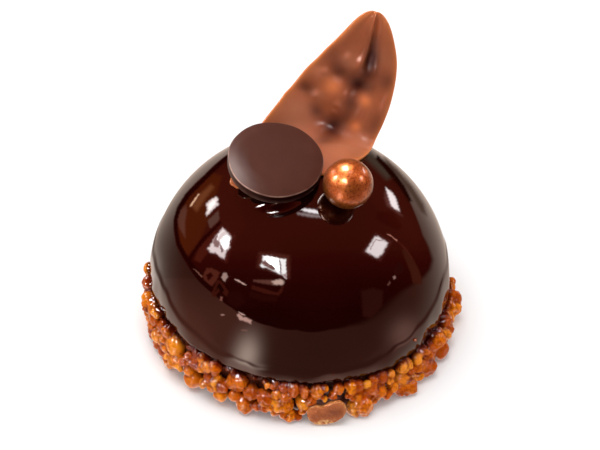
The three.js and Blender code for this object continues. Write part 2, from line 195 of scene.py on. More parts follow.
class Nodes:
    """Small helper that builds one node material."""

    def __init__(self, name):
        self.material = bpy.data.materials.new(name)
        self.material.use_nodes = True
        self.tree = self.material.node_tree
        self.shader = self.tree.nodes["Principled BSDF"]
        self.output = self.tree.nodes["Material Output"]

    def add(self, kind, inputs=None, **settings):
        node = self.tree.nodes.new(kind)
        for key, value in settings.items():
            setattr(node, key, value)
        for key, value in (inputs or {}).items():
            self.put(node.inputs[key], value)
        return node

    def put(self, socket, value):
        if isinstance(value, bpy.types.NodeSocket):
            self.tree.links.new(value, socket)
        else:
            socket.default_value = value

    def shade(self, **inputs):
        """Inputs of the shader, with _ for each space in their names."""
        for key, value in inputs.items():
            self.put(self.shader.inputs[key.replace("_", " ")], value)

    def place(self):
        """Object position in millimetres."""
        coordinate = self.add("ShaderNodeTexCoord")
        mapping = self.add("ShaderNodeMapping", {"Vector": coordinate.outputs["Object"],
                                                 "Scale": (1 / MM,) * 3})
        return mapping.outputs["Vector"]

    def noise(self, scale, detail=2.0, roughness=0.5, distortion=0.0):
        """Noise with a grain of about 1/scale millimetres."""
        node = self.add("ShaderNodeTexNoise", {"Vector": self.place(), "Scale": scale,
                                               "Detail": detail, "Roughness": roughness,
                                               "Distortion": distortion})
        return node.outputs["Fac"]

    def ramp(self, factor, stops):
        node = self.add("ShaderNodeValToRGB", {"Fac": factor})
        elements = node.color_ramp.elements
        while len(elements) < len(stops):
            elements.new(0.5)
        for element, (position, colour) in zip(elements, stops):
            element.position = position
            element.color = (*colour, 1)
        return node.outputs["Color"]

    def grey(self, factor, low, high, start=0.0, end=1.0):
        """Value that goes from low to high as the factor goes from start to end."""
        node = self.add("ShaderNodeMapRange", {"Value": factor, "From Min": start,
                                               "From Max": end, "To Min": low, "To Max": high})
        return node.outputs["Result"]

    def mix(self, factor, base, colour):
        """The base colour, painted over with another one where the factor is 1."""
        node = self.add("ShaderNodeMix", data_type="RGBA")
        self.put(node.inputs["Factor"], factor)
        self.put(node.inputs[6], base)
        self.put(node.inputs[7], (*colour, 1) if isinstance(colour, tuple) else colour)
        return node.outputs[2]

    def product(self, a, b):
        node = self.add("ShaderNodeMath", operation="MULTIPLY")
        self.put(node.inputs[0], a)
        self.put(node.inputs[1], b)
        return node.outputs["Value"]

    def bump(self, height, strength, distance):
        node = self.add("ShaderNodeBump", {"Height": height, "Strength": strength,
                                           "Distance": distance * MM})
        return node.outputs["Normal"]

    def layer(self, name):
        """Colour of one of the mesh's layers."""
        return self.add("ShaderNodeAttribute", attribute_name=name).outputs["Color"]

    def channels(self, name):
        """Red, green and blue of one of the mesh's layers."""
        split = self.add("ShaderNodeSeparateColor", {"Color": self.layer(name)})
        return (split.outputs[channel] for channel in ("Red", "Green", "Blue"))


# ---------------------------------------------------------------- glazed dome

DOME_RADIUS = 40.0
CENTRE_HEIGHT = 10.0
RIM_RISE = 0.5
RIM_SLOPE = -0.083
RIM_FILLET = 1.4
RIM_WAVES = [(0.12, 17, 1.0), (0.1, 31, 0.3)]  # depth, number of crests and phase
FOOT_HEIGHT = 8.6
FOOT_WAVE = 0.7
FOOT_WAVES = [(0.45, 5, 0.6), (0.35, 11, 2.1)]
FOOT_SCALLOPS = (0.6, 11.5, 4.0)  # sharp crests: depth, half their number and phase
FOOT_SWELLS = [(0.35, 9, 0.4), (0.25, 23, 1.9)]  # of the foot's draft
FOOT_RISE = (3.6, 0.0, 0.6)  # it rises on the right: by how much, at what angle, how widely
FOOT_PROUD = 0.32
FOOT_FLARE = 0.8  # how far above its edge the foot starts to stand out
FOOT_STEP = 0.3  # softness of that edge
FOOT_SOFT = 0.022  # radians over which its edge line is rounded
FOOT_DRAFT = 0.065  # how fast it falls back below its edge
FOOT_BLEND = 0.15  # radians in which the line read off the photograph runs into the unseen one
DOME_STEPS = 640
UPPER_RINGS, EDGE_RINGS, LOWER_RINGS = 110, 22, 9
EDGE_ABOVE, EDGE_BELOW = 3, 2  # where the rings of the foot's edge start and end, in flares
# The foot's wavy upper edge where it shows, in pixels of the photograph.
FOOT_LINE = [
    (156.3, 264), (158.5, 275), (161.5, 285), (166.5, 293), (168.7, 303), (175, 312.5), (180, 320),
    (187.5, 327), (195.5, 333), (202, 340.5), (211, 349), (220, 353.5), (231, 356.5), (241.5, 362),
    (245, 361.3), (252, 366), (258, 368.6), (272, 369.3), (286, 369.8), (296, 370.7), (303.6, 373),
    (317.3, 373.8), (326.5, 371.5), (338, 371.5), (348, 368.4), (357, 367.3), (365.3, 366.6),
    (372.2, 363.5), (379, 358.9), (388.3, 355), (392.8, 349.7), (397.4, 344.4), (406.6, 341.3),
    (412.7, 336.7), (417.3, 328.3), (423.5, 322.2), (427, 318), (432.2, 308.7), (438.9, 294),
    (441.8, 285), (444.3, 275.2), (447.6, 260.5),
]
CENTRE = Vector((0, 0, CENTRE_HEIGHT))
DISC_RADIUS = 11.9
DISC_THICKNESS = 2.9
DISC_CROWN = 0.12  # fall of the top towards its edge
DISC_TOP = np.array([-5.84, -5.4, 55.2])
DISC_NORMAL = Vector((0.111, -0.215, 0.97)).normalized()
DISC_TURN = np.array(Vector((0, 0, 1)).rotation_difference(DISC_NORMAL).to_matrix())
LIP_SHARE = 0.75  # how much of the gap below the disc the glaze fills at its front
LIP_WIDTH = 2.4
LIP_GAP = 0.5  # how far below the disc the drawn-up glaze stays
LIP_EDGE = 0.4  # how far it reaches past the disc
LIP_ANGLE, LIP_SPREAD = math.radians(-72), math.radians(30)


def rim_height(x):
    return CENTRE_HEIGHT + RIM_RISE + RIM_SLOPE * x


def on_dome(x, y, radius):
    """Point of the dome, in its own frame, that shows at a pixel."""
    ray = pixel_ray(x, y)
    offset = CAMERA_AT - CENTRE
    b = offset.dot(ray)
    inside = b * b - offset.length_squared + radius**2
    return offset + ray * (-b - math.sqrt(max(inside, 0)))


def foot_edge(angle):
    """Height of the foot above the rim, for angles from -pi to pi."""
    seen = [on_dome(x, y, DOME_RADIUS + FOOT_PROUD) for x, y in FOOT_LINE]
    angles = [math.atan2(point.y, point.x) for point in seen]
    heights = [point.z - RIM_RISE - RIM_SLOPE * point.x for point in seen]
    read = np.interp(angle, angles, heights)
    depth, number, phase = FOOT_SCALLOPS
    scallops = depth * (np.abs(np.sin(number * angle + phase)) - 0.5)
    rise, rise_at, rise_width = FOOT_RISE
    unseen = (FOOT_HEIGHT + FOOT_WAVE * (waves(angle, FOOT_WAVES) + scallops)
              + rise * bell(angle - rise_at, rise_width))
    is_seen = (smoothstep(angles[0], angles[0] + FOOT_BLEND, angle)
               * (1 - smoothstep(angles[-1] - FOOT_BLEND, angles[-1], angle)))
    return unseen + (read - unseen) * is_seen


def rounded(values, width):
    """Values round a ring, each one the weighted mean of its neighbours."""
    reach = int(3 * width)
    weights = np.exp(-0.5 * (np.arange(-reach, reach + 1) / width) ** 2)
    wrapped = np.concatenate([values[-reach:], values, values[:reach]])
    return np.convolve(wrapped, weights / weights.sum(), "valid")


def lifted(points):
    """The dome's points, with the glaze drawn up towards the front of the disc that it carries."""
    place = points - DISC_TOP
    above = place @ np.array(DISC_NORMAL)
    side = place - above[:, None] * np.array(DISC_NORMAL)
    to_disc = np.maximum(-above - DISC_THICKNESS - LIP_GAP, 0)
    angle = np.arctan2(side[:, 1], side[:, 0])
    share = (smoothstep(DISC_RADIUS + LIP_EDGE, DISC_RADIUS - LIP_WIDTH, np.linalg.norm(side, axis=1))
             * bell(angle - LIP_ANGLE, LIP_SPREAD))
    outward = points - np.array(CENTRE)
    outward /= np.linalg.norm(outward, axis=1, keepdims=True)
    return points + outward * (LIP_SHARE * to_disc * share * (above < 0))[:, None]


def glaze_material():
    n = Nodes("mirror_glaze")
    drift = n.noise(0.045, 2.0)
    speck = n.noise(1.4, 3.0, 0.6)
    colour = n.ramp(drift, [(0.35, (0.007, 0.0006, 0.0004)), (0.65, (0.010, 0.0009, 0.0006))])
    colour = n.mix(n.grey(speck, 0, 0.25, 0.55, 0.75), colour, (0.016, 0.0025, 0.0015))
    n.shade(Base_Color=colour, Roughness=n.grey(speck, 0.02, 0.05), IOR=1.5,
            Normal=n.bump(n.noise(0.07, 1.0), 0.25, 0.3))
    return n.material


def make_dome():
    angle = (np.arange(DOME_STEPS) + 0.5) * 2 * math.pi / DOME_STEPS - math.pi
    rim = RIM_RISE + RIM_SLOPE * DOME_RADIUS * np.cos(angle) + waves(angle, RIM_WAVES)
    crest = rim + rounded(foot_edge(angle), FOOT_SOFT * DOME_STEPS / (2 * math.pi))
    swell = 1 + waves(angle, FOOT_SWELLS)
    fillet_top = rim + RIM_FILLET
    rings = []

    def ring(height, inset=0.0):
        below = crest - height
        proud = (FOOT_PROUD / (1 + np.exp(-below / FOOT_STEP))
                 - FOOT_DRAFT * swell * np.maximum(below, 0))
        reach = np.sqrt(DOME_RADIUS**2 - np.maximum(height, fillet_top) ** 2) + proud - inset
        rings.append(ring_at(angle, reach, CENTRE_HEIGHT + height))

    edge_top = crest + EDGE_ABOVE * FOOT_FLARE
    edge_end = crest - EDGE_BELOW * FOOT_FLARE
    from_pole = math.pi / 2 - np.arcsin(edge_top / DOME_RADIUS)
    for k in range(1, UPPER_RINGS + 1):
        ring(DOME_RADIUS * np.cos(from_pole * k / UPPER_RINGS))
    for start, end, count in ((edge_top, edge_end, EDGE_RINGS),
                              (edge_end, fillet_top, LOWER_RINGS)):
        for k in range(1, count + 1):
            ring(start + (end - start) * k / count)
    for turn in np.radians(np.arange(10, 91, 10)):
        ring(rim + RIM_FILLET * (1 - math.sin(turn)), RIM_FILLET * (1 - math.cos(turn)))
    points, faces = closed_rings(rings, CENTRE_HEIGHT + DOME_RADIUS, rim_height(0))
    mesh_piece("glaze_dome", lifted(points), faces, glaze_material(),
               replaces=["dome"])


make_dome()

# ---------------------------------------------------------------- nuts in caramel

# The pieces that show at the front: x, y and radius, read off the photograph in pixels.
FRONT_NUTS = [
    (151, 269, 6.5), (151, 284, 7), (151, 297, 7.5), (153, 305.5, 7.5), (146, 303, 3), (147.5, 310, 3),
    (152.5, 313, 3.2), (158, 313.5, 5), (156.5, 320, 5.5), (153, 326, 4.5), (152.5, 331.5, 4),
    (160.5, 335.5, 7), (165.5, 339, 5), (161.5, 343, 2.5), (164, 326, 6), (168.5, 331, 6),
    (177.8, 344.8, 10), (166, 347.5, 4.5), (166.3, 358.3, 3.5), (170.5, 355, 4.2), (177, 361, 7),
    (182, 366.3, 4.3), (184.5, 361, 4.5), (188, 356.5, 3.4), (189.5, 362.5, 2.6), (190.3, 347, 3),
    (197.5, 352, 4), (204, 356.5, 4.8), (197, 363, 6.7), (201.5, 367.5, 4.5), (209, 366.5, 5.8),
    (216, 366.5, 5.2), (214.5, 373, 3), (194.2, 377, 8.8), (189.2, 371, 4.6), (204.5, 383.3, 4.3),
    (209.3, 377, 4.8), (217, 382.5, 6.6), (223, 386, 5.4), (213, 385, 5), (221, 394.3, 6.7),
    (234.2, 395.3, 5.3), (238.3, 380.5, 9), (228.3, 367.5, 3.6), (233.3, 369.8, 3.8), (254.5, 377, 2.2),
    (251, 391.8, 6.3), (245.5, 402.2, 8.3), (256.8, 406.3, 4.6), (262.5, 407, 3.8), (265, 396.3, 6.2),
    (262.8, 401.3, 3.6), (279.5, 400.5, 8.6), (284.5, 403, 6.8), (286, 396, 4.6), (276.5, 395, 4.2),
    (270.5, 407, 3.6), (274.5, 411, 4), (264.8, 381, 3.1), (267, 386.3, 2.6), (272.5, 388, 2.4),
    (277, 383.5, 4.8), (284, 385.5, 5), (290.8, 385.5, 4.2), (294.8, 390.8, 4.9), (297, 386, 3.8),
    (284.5, 414.3, 4.6), (291, 416, 4.9), (298, 416.5, 4.2), (302.5, 411.5, 3.4), (304, 402, 8.2),
    (311, 401.5, 4.6), (304.3, 391.5, 4.6), (318, 390.8, 6.3), (325.5, 388.3, 2.8), (321, 396.5, 2.4),
    (325, 399, 2.8), (332.8, 396, 3.5), (338.5, 389, 4.2), (351.3, 387, 6), (356.3, 386.2, 6.3),
    (348.8, 395.5, 2.6), (351.8, 398.8, 2.6), (357.5, 396.8, 5.2), (363.8, 395.5, 3.8), (367, 400.5, 3.6),
    (355.2, 406.5, 7.2), (362.8, 406, 8.2), (370, 388, 7), (377, 388.8, 7.6), (366, 385, 3.6),
    (374.3, 378, 5.6), (380.3, 376.3, 7), (390.3, 374.5, 4.6), (389.3, 379.8, 4.5), (385.8, 393.5, 4.7),
    (377, 396.8, 4.2), (373.3, 400, 3.6), (392.8, 387, 4.2), (401, 378.7, 8.2), (402, 366.3, 5.2),
    (408, 364.5, 4.3), (410.8, 371, 4), (401.3, 388.8, 6.2), (407.8, 386, 6.8), (410.5, 379, 4.6),
    (418.8, 352, 5.6), (416.8, 358.3, 5.2), (424.3, 347.3, 2.8), (426, 352.3, 3), (425.3, 364.8, 9.2),
    (427.3, 357, 5.6), (418.3, 366.3, 6), (417.8, 375.3, 4.6), (437, 331.5, 4.8), (436.3, 339.3, 6.6),
    (439, 348.7, 9.2), (447, 330.5, 5.3), (446, 334, 4), (444.7, 321.3, 6.3), (444.3, 313, 4.4),
    (451.3, 299.3, 7.5), (451.6, 307, 7.4), (447.6, 305, 3), (450.3, 282, 4.6), (451, 287.3, 4.2),
]
NUT_RING = 43.0  # outermost reach of the nuts at the foot
NUT_TAPER = 0.16  # how much less they reach for each millimetre above TAPER_FROM
TAPER_FROM = 4.0
NUT_ROOT = 0.7  # how far a piece is drawn out towards the cake
NUT_SWELL = (1.15, 1.2)  # growth of the smallest and of the largest pieces: they run together
NUT_SWELL_PX = (3.0, 5.5)  # radii of those pieces, in pixels of the photograph
NUT_VOXEL = 0.2
NUT_SMOOTHING = 5
NUT_TRIANGLES = 185000
NUT_KNOBS = (0.7, 0.40)  # height of the knobs and how many to a millimetre
NUT_WRINKLES = (0.45, 0.8)
NUT_STRETCH = 0.6  # how much longer than wide a small chip is
NUT_REST = 0.92  # lowest height of a piece's middle, in its own radii
NUT_CHOPPED = 0.66  # share of the pieces that are chopped; the others are whole
NUT_FACETS, WHOLE_DENTS = 8, 4  # how many a chopped and a whole piece has
NUT_GROWTH = 1.14  # makes up for what the facets cut off
NUT_RELIEF, NUT_SQUASH = 0.08, 0.1
PUFF_MEAN, FOLD_EDGE = 0.22, 0.13  # mean of the knobs' noise, and below what it is a fold
NUT_BLEND = 0.18  # in how many millimetres the tints of two pieces run together
UNDER_RIM, UNDER_RIM_REACH = (2.6, 0.2), (40.2, 41.4)  # painted amber shade: below the rim, outwards
# pieces that reach less than this, deep under the dome, get painted dark shade
DEEP_SHADE_REACH = (38.8, 40.6)
FLOOR_SHADE_HEIGHT = 1.6  # up to which height the pieces get painted amber shade next to the floor
# The far side isn't seen: rows of like pieces with their share of the height, number and size.
BACK_ROWS = [(0.0, 32, 2.1), (0.4, 33, 2.0), (0.72, 33, 1.9), (0.95, 36, 1.55)]
BACK_ARC = (-4, 174)  # degrees
BACK_HIDDEN = 1.9  # how much less they reach beside the dome, where its foot hides them
BACK_BESIDE = (50, 24), (128, 150)  # degrees between which that comes about
# Pieces that fill what the seen ones leave open low on the sides: share of the height, size.
SIDE_ROWS = [(0.0, 2.2), (0.33, 2.1), (0.66, 1.9)]
SIDE_ARCS = [(172, 218), (-40, -2)]  # degrees
SIDE_COUNT = 10
SIDE_HIDDEN = 1.1  # how much less they reach than those in front of them
SIDE_OPEN = 0.4  # a place is open if the next seen piece is this many radii away


def nut_reach(height):
    return NUT_RING - NUT_TAPER * max(height - TAPER_FROM, 0)


def front_nut(x, y, radius_px):
    """Middle and radius of a piece seen at a pixel: it lies in the ring, on the floor or above."""
    ray = pixel_ray(x, y)
    depth_axis = (CAMERA_TO - CAMERA_AT).normalized()
    height, radius = 5.0, 1.5  # a first guess, put right by the rounds of the loop
    across = ray.x**2 + ray.y**2
    along = CAMERA_AT.x * ray.x + CAMERA_AT.y * ray.y
    for _ in range(20):
        reach = nut_reach(height) - radius
        inside = along**2 - across * (CAMERA_AT.x**2 + CAMERA_AT.y**2 - reach**2)
        middle = CAMERA_AT + ray * ((-along - math.sqrt(max(inside, 0))) / across)
        ceiling = rim_height(middle.x) - 0.55 * radius
        level = min(max(middle.z, NUT_REST * radius), ceiling)
        if level != middle.z:
            middle = CAMERA_AT + ray * ((level - CAMERA_AT.z) / ray.z)
        radius = radius_px * (middle - CAMERA_AT).dot(depth_axis) / FOCAL_PX
        height = 0.5 * (height + middle.z)
    return np.array(middle), radius


def degrees_in_row(piece, row, i, count, arc):
    """Where a piece lies in its row: every other row is shifted by half a piece."""
    start, end = arc
    return start + (end - start) * (i + 0.5 * (row % 2) + 0.3 * spread(piece, 1)) / count


def nut_in_ring(degrees, radius, share, hidden):
    """Middle and radius of a piece at a share of the ring's height, that reaches less by hidden."""
    angle = math.radians(degrees)
    low, top = NUT_REST * radius, rim_height(DOME_RADIUS * math.cos(angle)) - 0.6 * radius
    height = low + (top - low) * share
    reach = nut_reach(height) - radius - hidden
    return np.array([reach * math.cos(angle), reach * math.sin(angle), height]), radius


def back_nuts():
    for row, (share, count, size) in enumerate(BACK_ROWS):
        for i in range(count):
            piece = 1000 + row * 100 + i
            degrees = degrees_in_row(piece, row, i, count, BACK_ARC)
            beside = sum(smoothstep(*limits, degrees) for limits in BACK_BESIDE)
            yield nut_in_ring(degrees, size * (1 + 0.3 * spread(piece, 2)),
                              min(share + 0.08 * spread(piece, 3), 1),
                              0.35 * draw(piece, 4) + BACK_HIDDEN * beside)


def side_nuts(front):
    middles = np.array([middle for middle, _ in front])
    radii = np.array([radius for _, radius in front])
    for row, (share, size) in enumerate(SIDE_ROWS):
        for side, arc in enumerate(SIDE_ARCS):
            for i in range(SIDE_COUNT):
                piece = 2000 + row * 100 + side * 50 + i
                degrees = degrees_in_row(piece, row, i, SIDE_COUNT, arc)
                middle, radius = nut_in_ring(degrees, size * (1 + 0.25 * spread(piece, 2)), share,
                                             SIDE_HIDDEN)
                if np.min(np.linalg.norm(middles - middle, axis=1) - radii) > SIDE_OPEN * radius:
                    yield middle, radius


def nut_balls():
    small, large = NUT_SWELL
    front = [front_nut(x, y, radius * (small + (large - small) * smoothstep(*NUT_SWELL_PX, radius)))
             for x, y, radius in FRONT_NUTS]
    return front + list(back_nuts()) + list(side_nuts(front))


def sphere_grid(level):
    """Directions and triangles of a subdivided icosahedron."""
    mesh = bpy.data.meshes.new("sphere_grid")
    build = bmesh.new()
    bmesh.ops.create_icosphere(build, subdivisions=level, radius=1)
    build.to_mesh(mesh)
    build.free()
    points = np.array([v.co[:] for v in mesh.vertices])
    faces = np.array([p.vertices[:] for p in mesh.polygons])
    bpy.data.meshes.remove(mesh)
    return points, faces


def nut_material():
    n = Nodes("caramelised_nut")
    tint, deep_shade, amber_shade = n.channels("tint")
    base = n.ramp(tint, [
        (0.0, (0.28, 0.034, 0.001)), (0.35, (0.54, 0.098, 0.002)),
        (0.7, (0.78, 0.200, 0.004)), (1.0, (0.90, 0.310, 0.016))])
    blotch = n.noise(0.4, 3.0, 0.6)
    base = n.mix(n.grey(blotch, 0, 0.7, 0.5, 0.68), base, (0.38, 0.046, 0.001))
    # painted shade: darker amber in the creases, folds, next to the floor and under the rim
    base = n.mix(amber_shade, base, (0.19, 0.016, 0.0006))
    # painted dark shade on the pieces deep under the dome
    base = n.mix(deep_shade, base, (0.05, 0.003, 0.0003))
    n.shade(Base_Color=base, Roughness=0.5, IOR=1.45, Specular_IOR_Level=0.0, Coat_Weight=0.7,
            Coat_Roughness=0.05, Coat_IOR=1.66, Subsurface_Weight=0.12, Subsurface_Scale=1 * MM,
            Subsurface_Radius=(1.0, 0.25, 0.05),
            Normal=n.bump(n.noise(0.8, 4.0, 0.6, 0.6), 0.6, 0.35),
            Coat_Normal=n.bump(n.noise(0.9, 2.0), 0.12, 0.2))
    return n.material


def axis_of(piece, number):
    axis = np.array([spread(piece, number + k) for k in (0, 10, 20)])
    return axis / np.linalg.norm(axis)


def is_whole(piece):
    """True for the pieces that are round and smooth, false for the chopped ones."""
    return draw(piece, 61) > NUT_CHOPPED


def nut_size(piece, directions):
    """Reach of a nut of radius 1 in each direction."""
    size = np.ones(len(directions))
    if is_whole(piece):
        for k in range(WHOLE_DENTS):
            facing = directions @ axis_of(piece, 10 + k)
            size += (0.10 * draw(piece, 40 + k) * smoothstep(0.5, 1.0, facing)
                     - 0.12 * draw(piece, 50 + k) * smoothstep(0.75, 1.0, -facing))
        return size
    for k in range(NUT_FACETS):
        facing = directions @ axis_of(piece, 10 + k)
        cut = 0.70 + 0.30 * draw(piece, 50 + k)
        size = np.minimum(size, cut / np.maximum(facing, 0.3))
    return NUT_GROWTH * size


def lumpy_ball(piece, middle, radius, directions):
    """A whole or a chopped nut, drawn out towards the cake."""
    shift = Vector((piece * 3.71 % 97, piece * 1.37 % 89, piece * 0.93 % 83))
    relief = fractal(directions, 1.3, 3, shift)
    squash = 1 + NUT_SQUASH * np.array([spread(piece, number) for number in (2, 3, 4)])
    size = radius * (nut_size(piece, directions) + NUT_RELIEF * relief)
    points = directions * size[:, None] * squash
    axis = axis_of(piece, 5)
    stretch = NUT_STRETCH * draw(piece, 8) * float(smoothstep(1.7, 0.8, radius))
    points = points * (1 - 0.3 * stretch) + np.outer(points @ axis, axis) * stretch
    outward = np.array([middle[0], middle[1], 0]) / math.hypot(middle[0], middle[1])
    inner = np.maximum(-(points @ outward), 0) / radius
    points = points - outward * (inner * NUT_ROOT)[:, None] + middle
    points[:, 2] = np.maximum(points[:, 2], 0.05)
    return points


def remeshed(points, faces):
    """One closed skin round overlapping pieces: its points and triangles."""
    mesh = bpy.data.meshes.new("remeshed")
    mesh.from_pydata(points.tolist(), [], faces.tolist())
    rough = new_object("remeshed", mesh)
    remesh = rough.modifiers.new("remesh", "REMESH")
    remesh.mode = "VOXEL"
    remesh.voxel_size = NUT_VOXEL
    smooth = rough.modifiers.new("smooth", "SMOOTH")
    smooth.factor = 0.5
    smooth.iterations = NUT_SMOOTHING
    fine = rough.evaluated_get(bpy.context.evaluated_depsgraph_get()).to_mesh()
    fewer = rough.modifiers.new("fewer", "DECIMATE")
    fewer.ratio = min(NUT_TRIANGLES / (2 * len(fine.polygons)), 1)
    done = rough.evaluated_get(bpy.context.evaluated_depsgraph_get()).to_mesh()
    done.calc_loop_triangles()
    skin = np.empty(len(done.vertices) * 3)
    done.vertices.foreach_get("co", skin)
    triangles = np.empty(len(done.loop_triangles) * 3, dtype=np.int64)
    done.loop_triangles.foreach_get("vertices", triangles)
    bpy.data.objects.remove(rough)
    return skin.reshape(-1, 3), triangles.reshape(-1, 3)


def knobbly(points, triangles, roundness):
    """A skin with the knobs and wrinkles of roasted nuts, and how deep in one each point lies."""
    a, b, c = (points[triangles[:, k]] for k in range(3))
    across = np.cross(b - a, c - a)
    normals = np.zeros_like(points)
    for k in range(3):
        np.add.at(normals, triangles[:, k], across)
    normals /= np.maximum(np.linalg.norm(normals, axis=1, keepdims=True), 1e-9)
    out, folds = np.zeros(len(points)), np.zeros(len(points))
    for height, fineness in (NUT_KNOBS, NUT_WRINKLES):
        puffs = np.array([abs(noise.noise(Vector(p) * fineness)) for p in points.tolist()])
        out += height * (puffs - PUFF_MEAN) * (1 - 0.85 * roundness)
        folds = np.maximum(folds, smoothstep(FOLD_EDGE, 0.0, puffs) * (1 - 0.8 * roundness))
    points = points + normals * out[:, None]
    points[:, 2] = np.maximum(points[:, 2], 0.02)
    return points, folds


SKIN_CHUNK = 4000  # points of the skin that are worked on at a time, to spare memory


def make_nut_ring():
    balls = nut_balls()
    middles = np.array([middle for middle, _ in balls])
    radii = np.array([radius for _, radius in balls])
    directions, faces = sphere_grid(level=3)
    rough = np.concatenate([lumpy_ball(piece, middle, radius, directions)
                            for piece, (middle, radius) in enumerate(balls)])
    joined = np.concatenate([faces + len(directions) * piece for piece in range(len(balls))])
    skin, triangles = remeshed(rough, joined)
    tints = np.array([np.clip(0.55 + 0.45 * spread(piece, 60), 0, 1)
                      for piece in range(len(balls))])
    smooth_ones = np.array([0.9 if is_whole(piece) else 0.0 for piece in range(len(balls))])
    tint, crease, roundness = (np.empty(len(skin)) for _ in range(3))
    for start in range(0, len(skin), SKIN_CHUNK):
        part = slice(start, start + SKIN_CHUNK)
        away = np.linalg.norm(skin[part, None] - middles[None], axis=2) - radii[None]
        nearest = np.partition(away, 1, axis=1)[:, :2]
        weight = np.exp(-(away - nearest[:, :1]) / NUT_BLEND)
        total = weight.sum(1)
        tint[part] = (weight * tints).sum(1) / total
        roundness[part] = (weight * smooth_ones).sum(1) / total
        crease[part] = 1 - smoothstep(-0.2, 0.7, nearest[:, 1])
    skin, folds = knobbly(skin, triangles, roundness)
    reach = np.hypot(skin[:, 0], skin[:, 1])
    below_rim = rim_height(skin[:, 0]) - skin[:, 2]
    under_rim = smoothstep(*UNDER_RIM, below_rim) * (1 - smoothstep(*UNDER_RIM_REACH, reach))
    at_table = 1 - smoothstep(0.0, FLOOR_SHADE_HEIGHT, skin[:, 2])
    # painted amber shade in the creases between pieces, in folds, next to the floor and under the rim
    amber_shade = np.clip(0.9 * crease + 0.5 * at_table + 0.8 * under_rim + 0.6 * folds, 0, 1)
    # painted dark shade: deep under the dome, in the creases and under the rim
    deep_shade = np.clip(0.35 * crease**2 + 0.95 * (1 - smoothstep(*DEEP_SHADE_REACH, reach))
                    + 0.4 * under_rim**2, 0, 1)
    mesh_piece("nut_pieces", skin, triangles.tolist(), nut_material(),
               replaces=["nut_base"], colours={"tint": colour_layer(tint, deep_shade, amber_shade)})


CRUMB_PX = (415, 340)  # where a crumb sticks to the glaze, in pixels of the photograph
CRUMB_RADIUS = 0.45
CRUMB_DEEP = 0.1  # how deep its middle lies in the glaze
CRUMB_COLOUR = (0.3, 0.35, 0.4, 1.0)  # its tint, painted dark shade and painted amber shade, as on the other nuts


def make_crumb():
    """Crumb of nut stuck to the foot of the glaze."""
    directions, faces = sphere_grid(level=3)
    middle = np.array(CENTRE + on_dome(*CRUMB_PX, DOME_RADIUS + FOOT_PROUD - CRUMB_DEEP))
    points = lumpy_ball(4000, middle, CRUMB_RADIUS, directions)
    mesh_piece("nut_crumb", points, faces.tolist(), nut_material(),
               colours={"tint": np.tile(CRUMB_COLOUR, (len(points), 1))})


def caramel_material():
    n = Nodes("dark_caramel")
    patch = n.noise(0.35, 2.0)
    colour = n.ramp(patch, [(0.35, (0.02, 0.002, 0.0005)), (0.7, (0.10, 0.014, 0.001))])
    n.shade(Base_Color=colour, Roughness=0.4, IOR=1.3,
            Normal=n.bump(n.noise(0.5, 3.0), 0.8, 0.6))
    return n.material


CORE_RADIUS = 38.9
CORE_GAP = 0.35  # between the core and the dome's underside
CORE_LUMPS = 0.7
# Rings from the floor to the top: share of the height, and how far in from the radius.
CORE_RINGS = [(0.0, 0.8), (0.03, 0.3), *((share / 10, 0) for share in range(1, 10)), (0.97, 0.1),
              (1.0, 0.5), (1.0, 12.0)]


def make_core():
    """Base that carries the nuts, with dark caramel between them."""
    angle = even_angles(360)
    rings = []
    for share, inset in CORE_RINGS:
        lumps = fractal(ring_at(angle, 9, share * 3), 1, 3) * math.sin(math.pi * share) ** 0.5
        reach = CORE_RADIUS - inset + CORE_LUMPS * lumps
        rings.append(ring_at(angle, reach, (rim_height(reach * np.cos(angle)) - CORE_GAP) * share))
    points, faces = closed_rings(rings, 0, rim_height(0) - CORE_GAP)
    mesh_piece("caramel_core", points, faces, caramel_material(),
               replaces=["nut_base"])


make_nut_ring()
make_crumb()
make_core()

# ---------------------------------------------------------------- flat piece of nut

FLAT_SIZE = (10.2, 6.3, 1.8)
FLAT_CENTRE = np.array([7.0, -42.6, 3.3])
FLAT_LEAN = math.radians(14)
FLAT_ROLL = math.radians(9)
FLAT_TURN = Matrix.Rotation(math.pi / 2 - FLAT_LEAN, 3, "X") @ Matrix.Rotation(FLAT_ROLL, 3, "Z")
FLAT_BUMPS = (0.16, 0.04)  # height on the faces, and the share by which the outline varies
# The bean's outline, -1..1 each way: points on it, each with the two handles of the curve to
# the next one.
BEAN = [
    ((-1, 0.1), (-1, 0.9), (-0.55, 1.05)), ((-0.3, 0.72), (-0.05, 0.62), (0.15, 1.1)),
    ((0.55, 1), (1.02, 0.9), (1.06, 0.1)), ((0.8, -0.4), (0.5, -0.95), (-0.3, -1.1)),
    ((-0.7, -0.75), (-0.95, -0.5), (-1, -0.2)),
]
BEAN_STEPS = 14  # of each curve
# Its rounded edge, from one face to the middle: share of the outline, and depth -1..1.
BEAN_EDGE = [(0.3, -1.0), (0.6, -1.0), (0.82, -1.0), (0.93, -0.86), (0.985, -0.6), (1, -0.2)]


def bean_outline():
    loop = []
    t = np.arange(BEAN_STEPS)[:, None] / BEAN_STEPS
    for curve, (end, _, _) in zip(BEAN, BEAN[1:] + BEAN[:1]):
        a, b, c, d = np.array((*curve, end), float)
        loop.append((1 - t) ** 3 * a + 3 * (1 - t) ** 2 * t * b + 3 * (1 - t) * t * t * c + t**3 * d)
    return np.concatenate(loop)


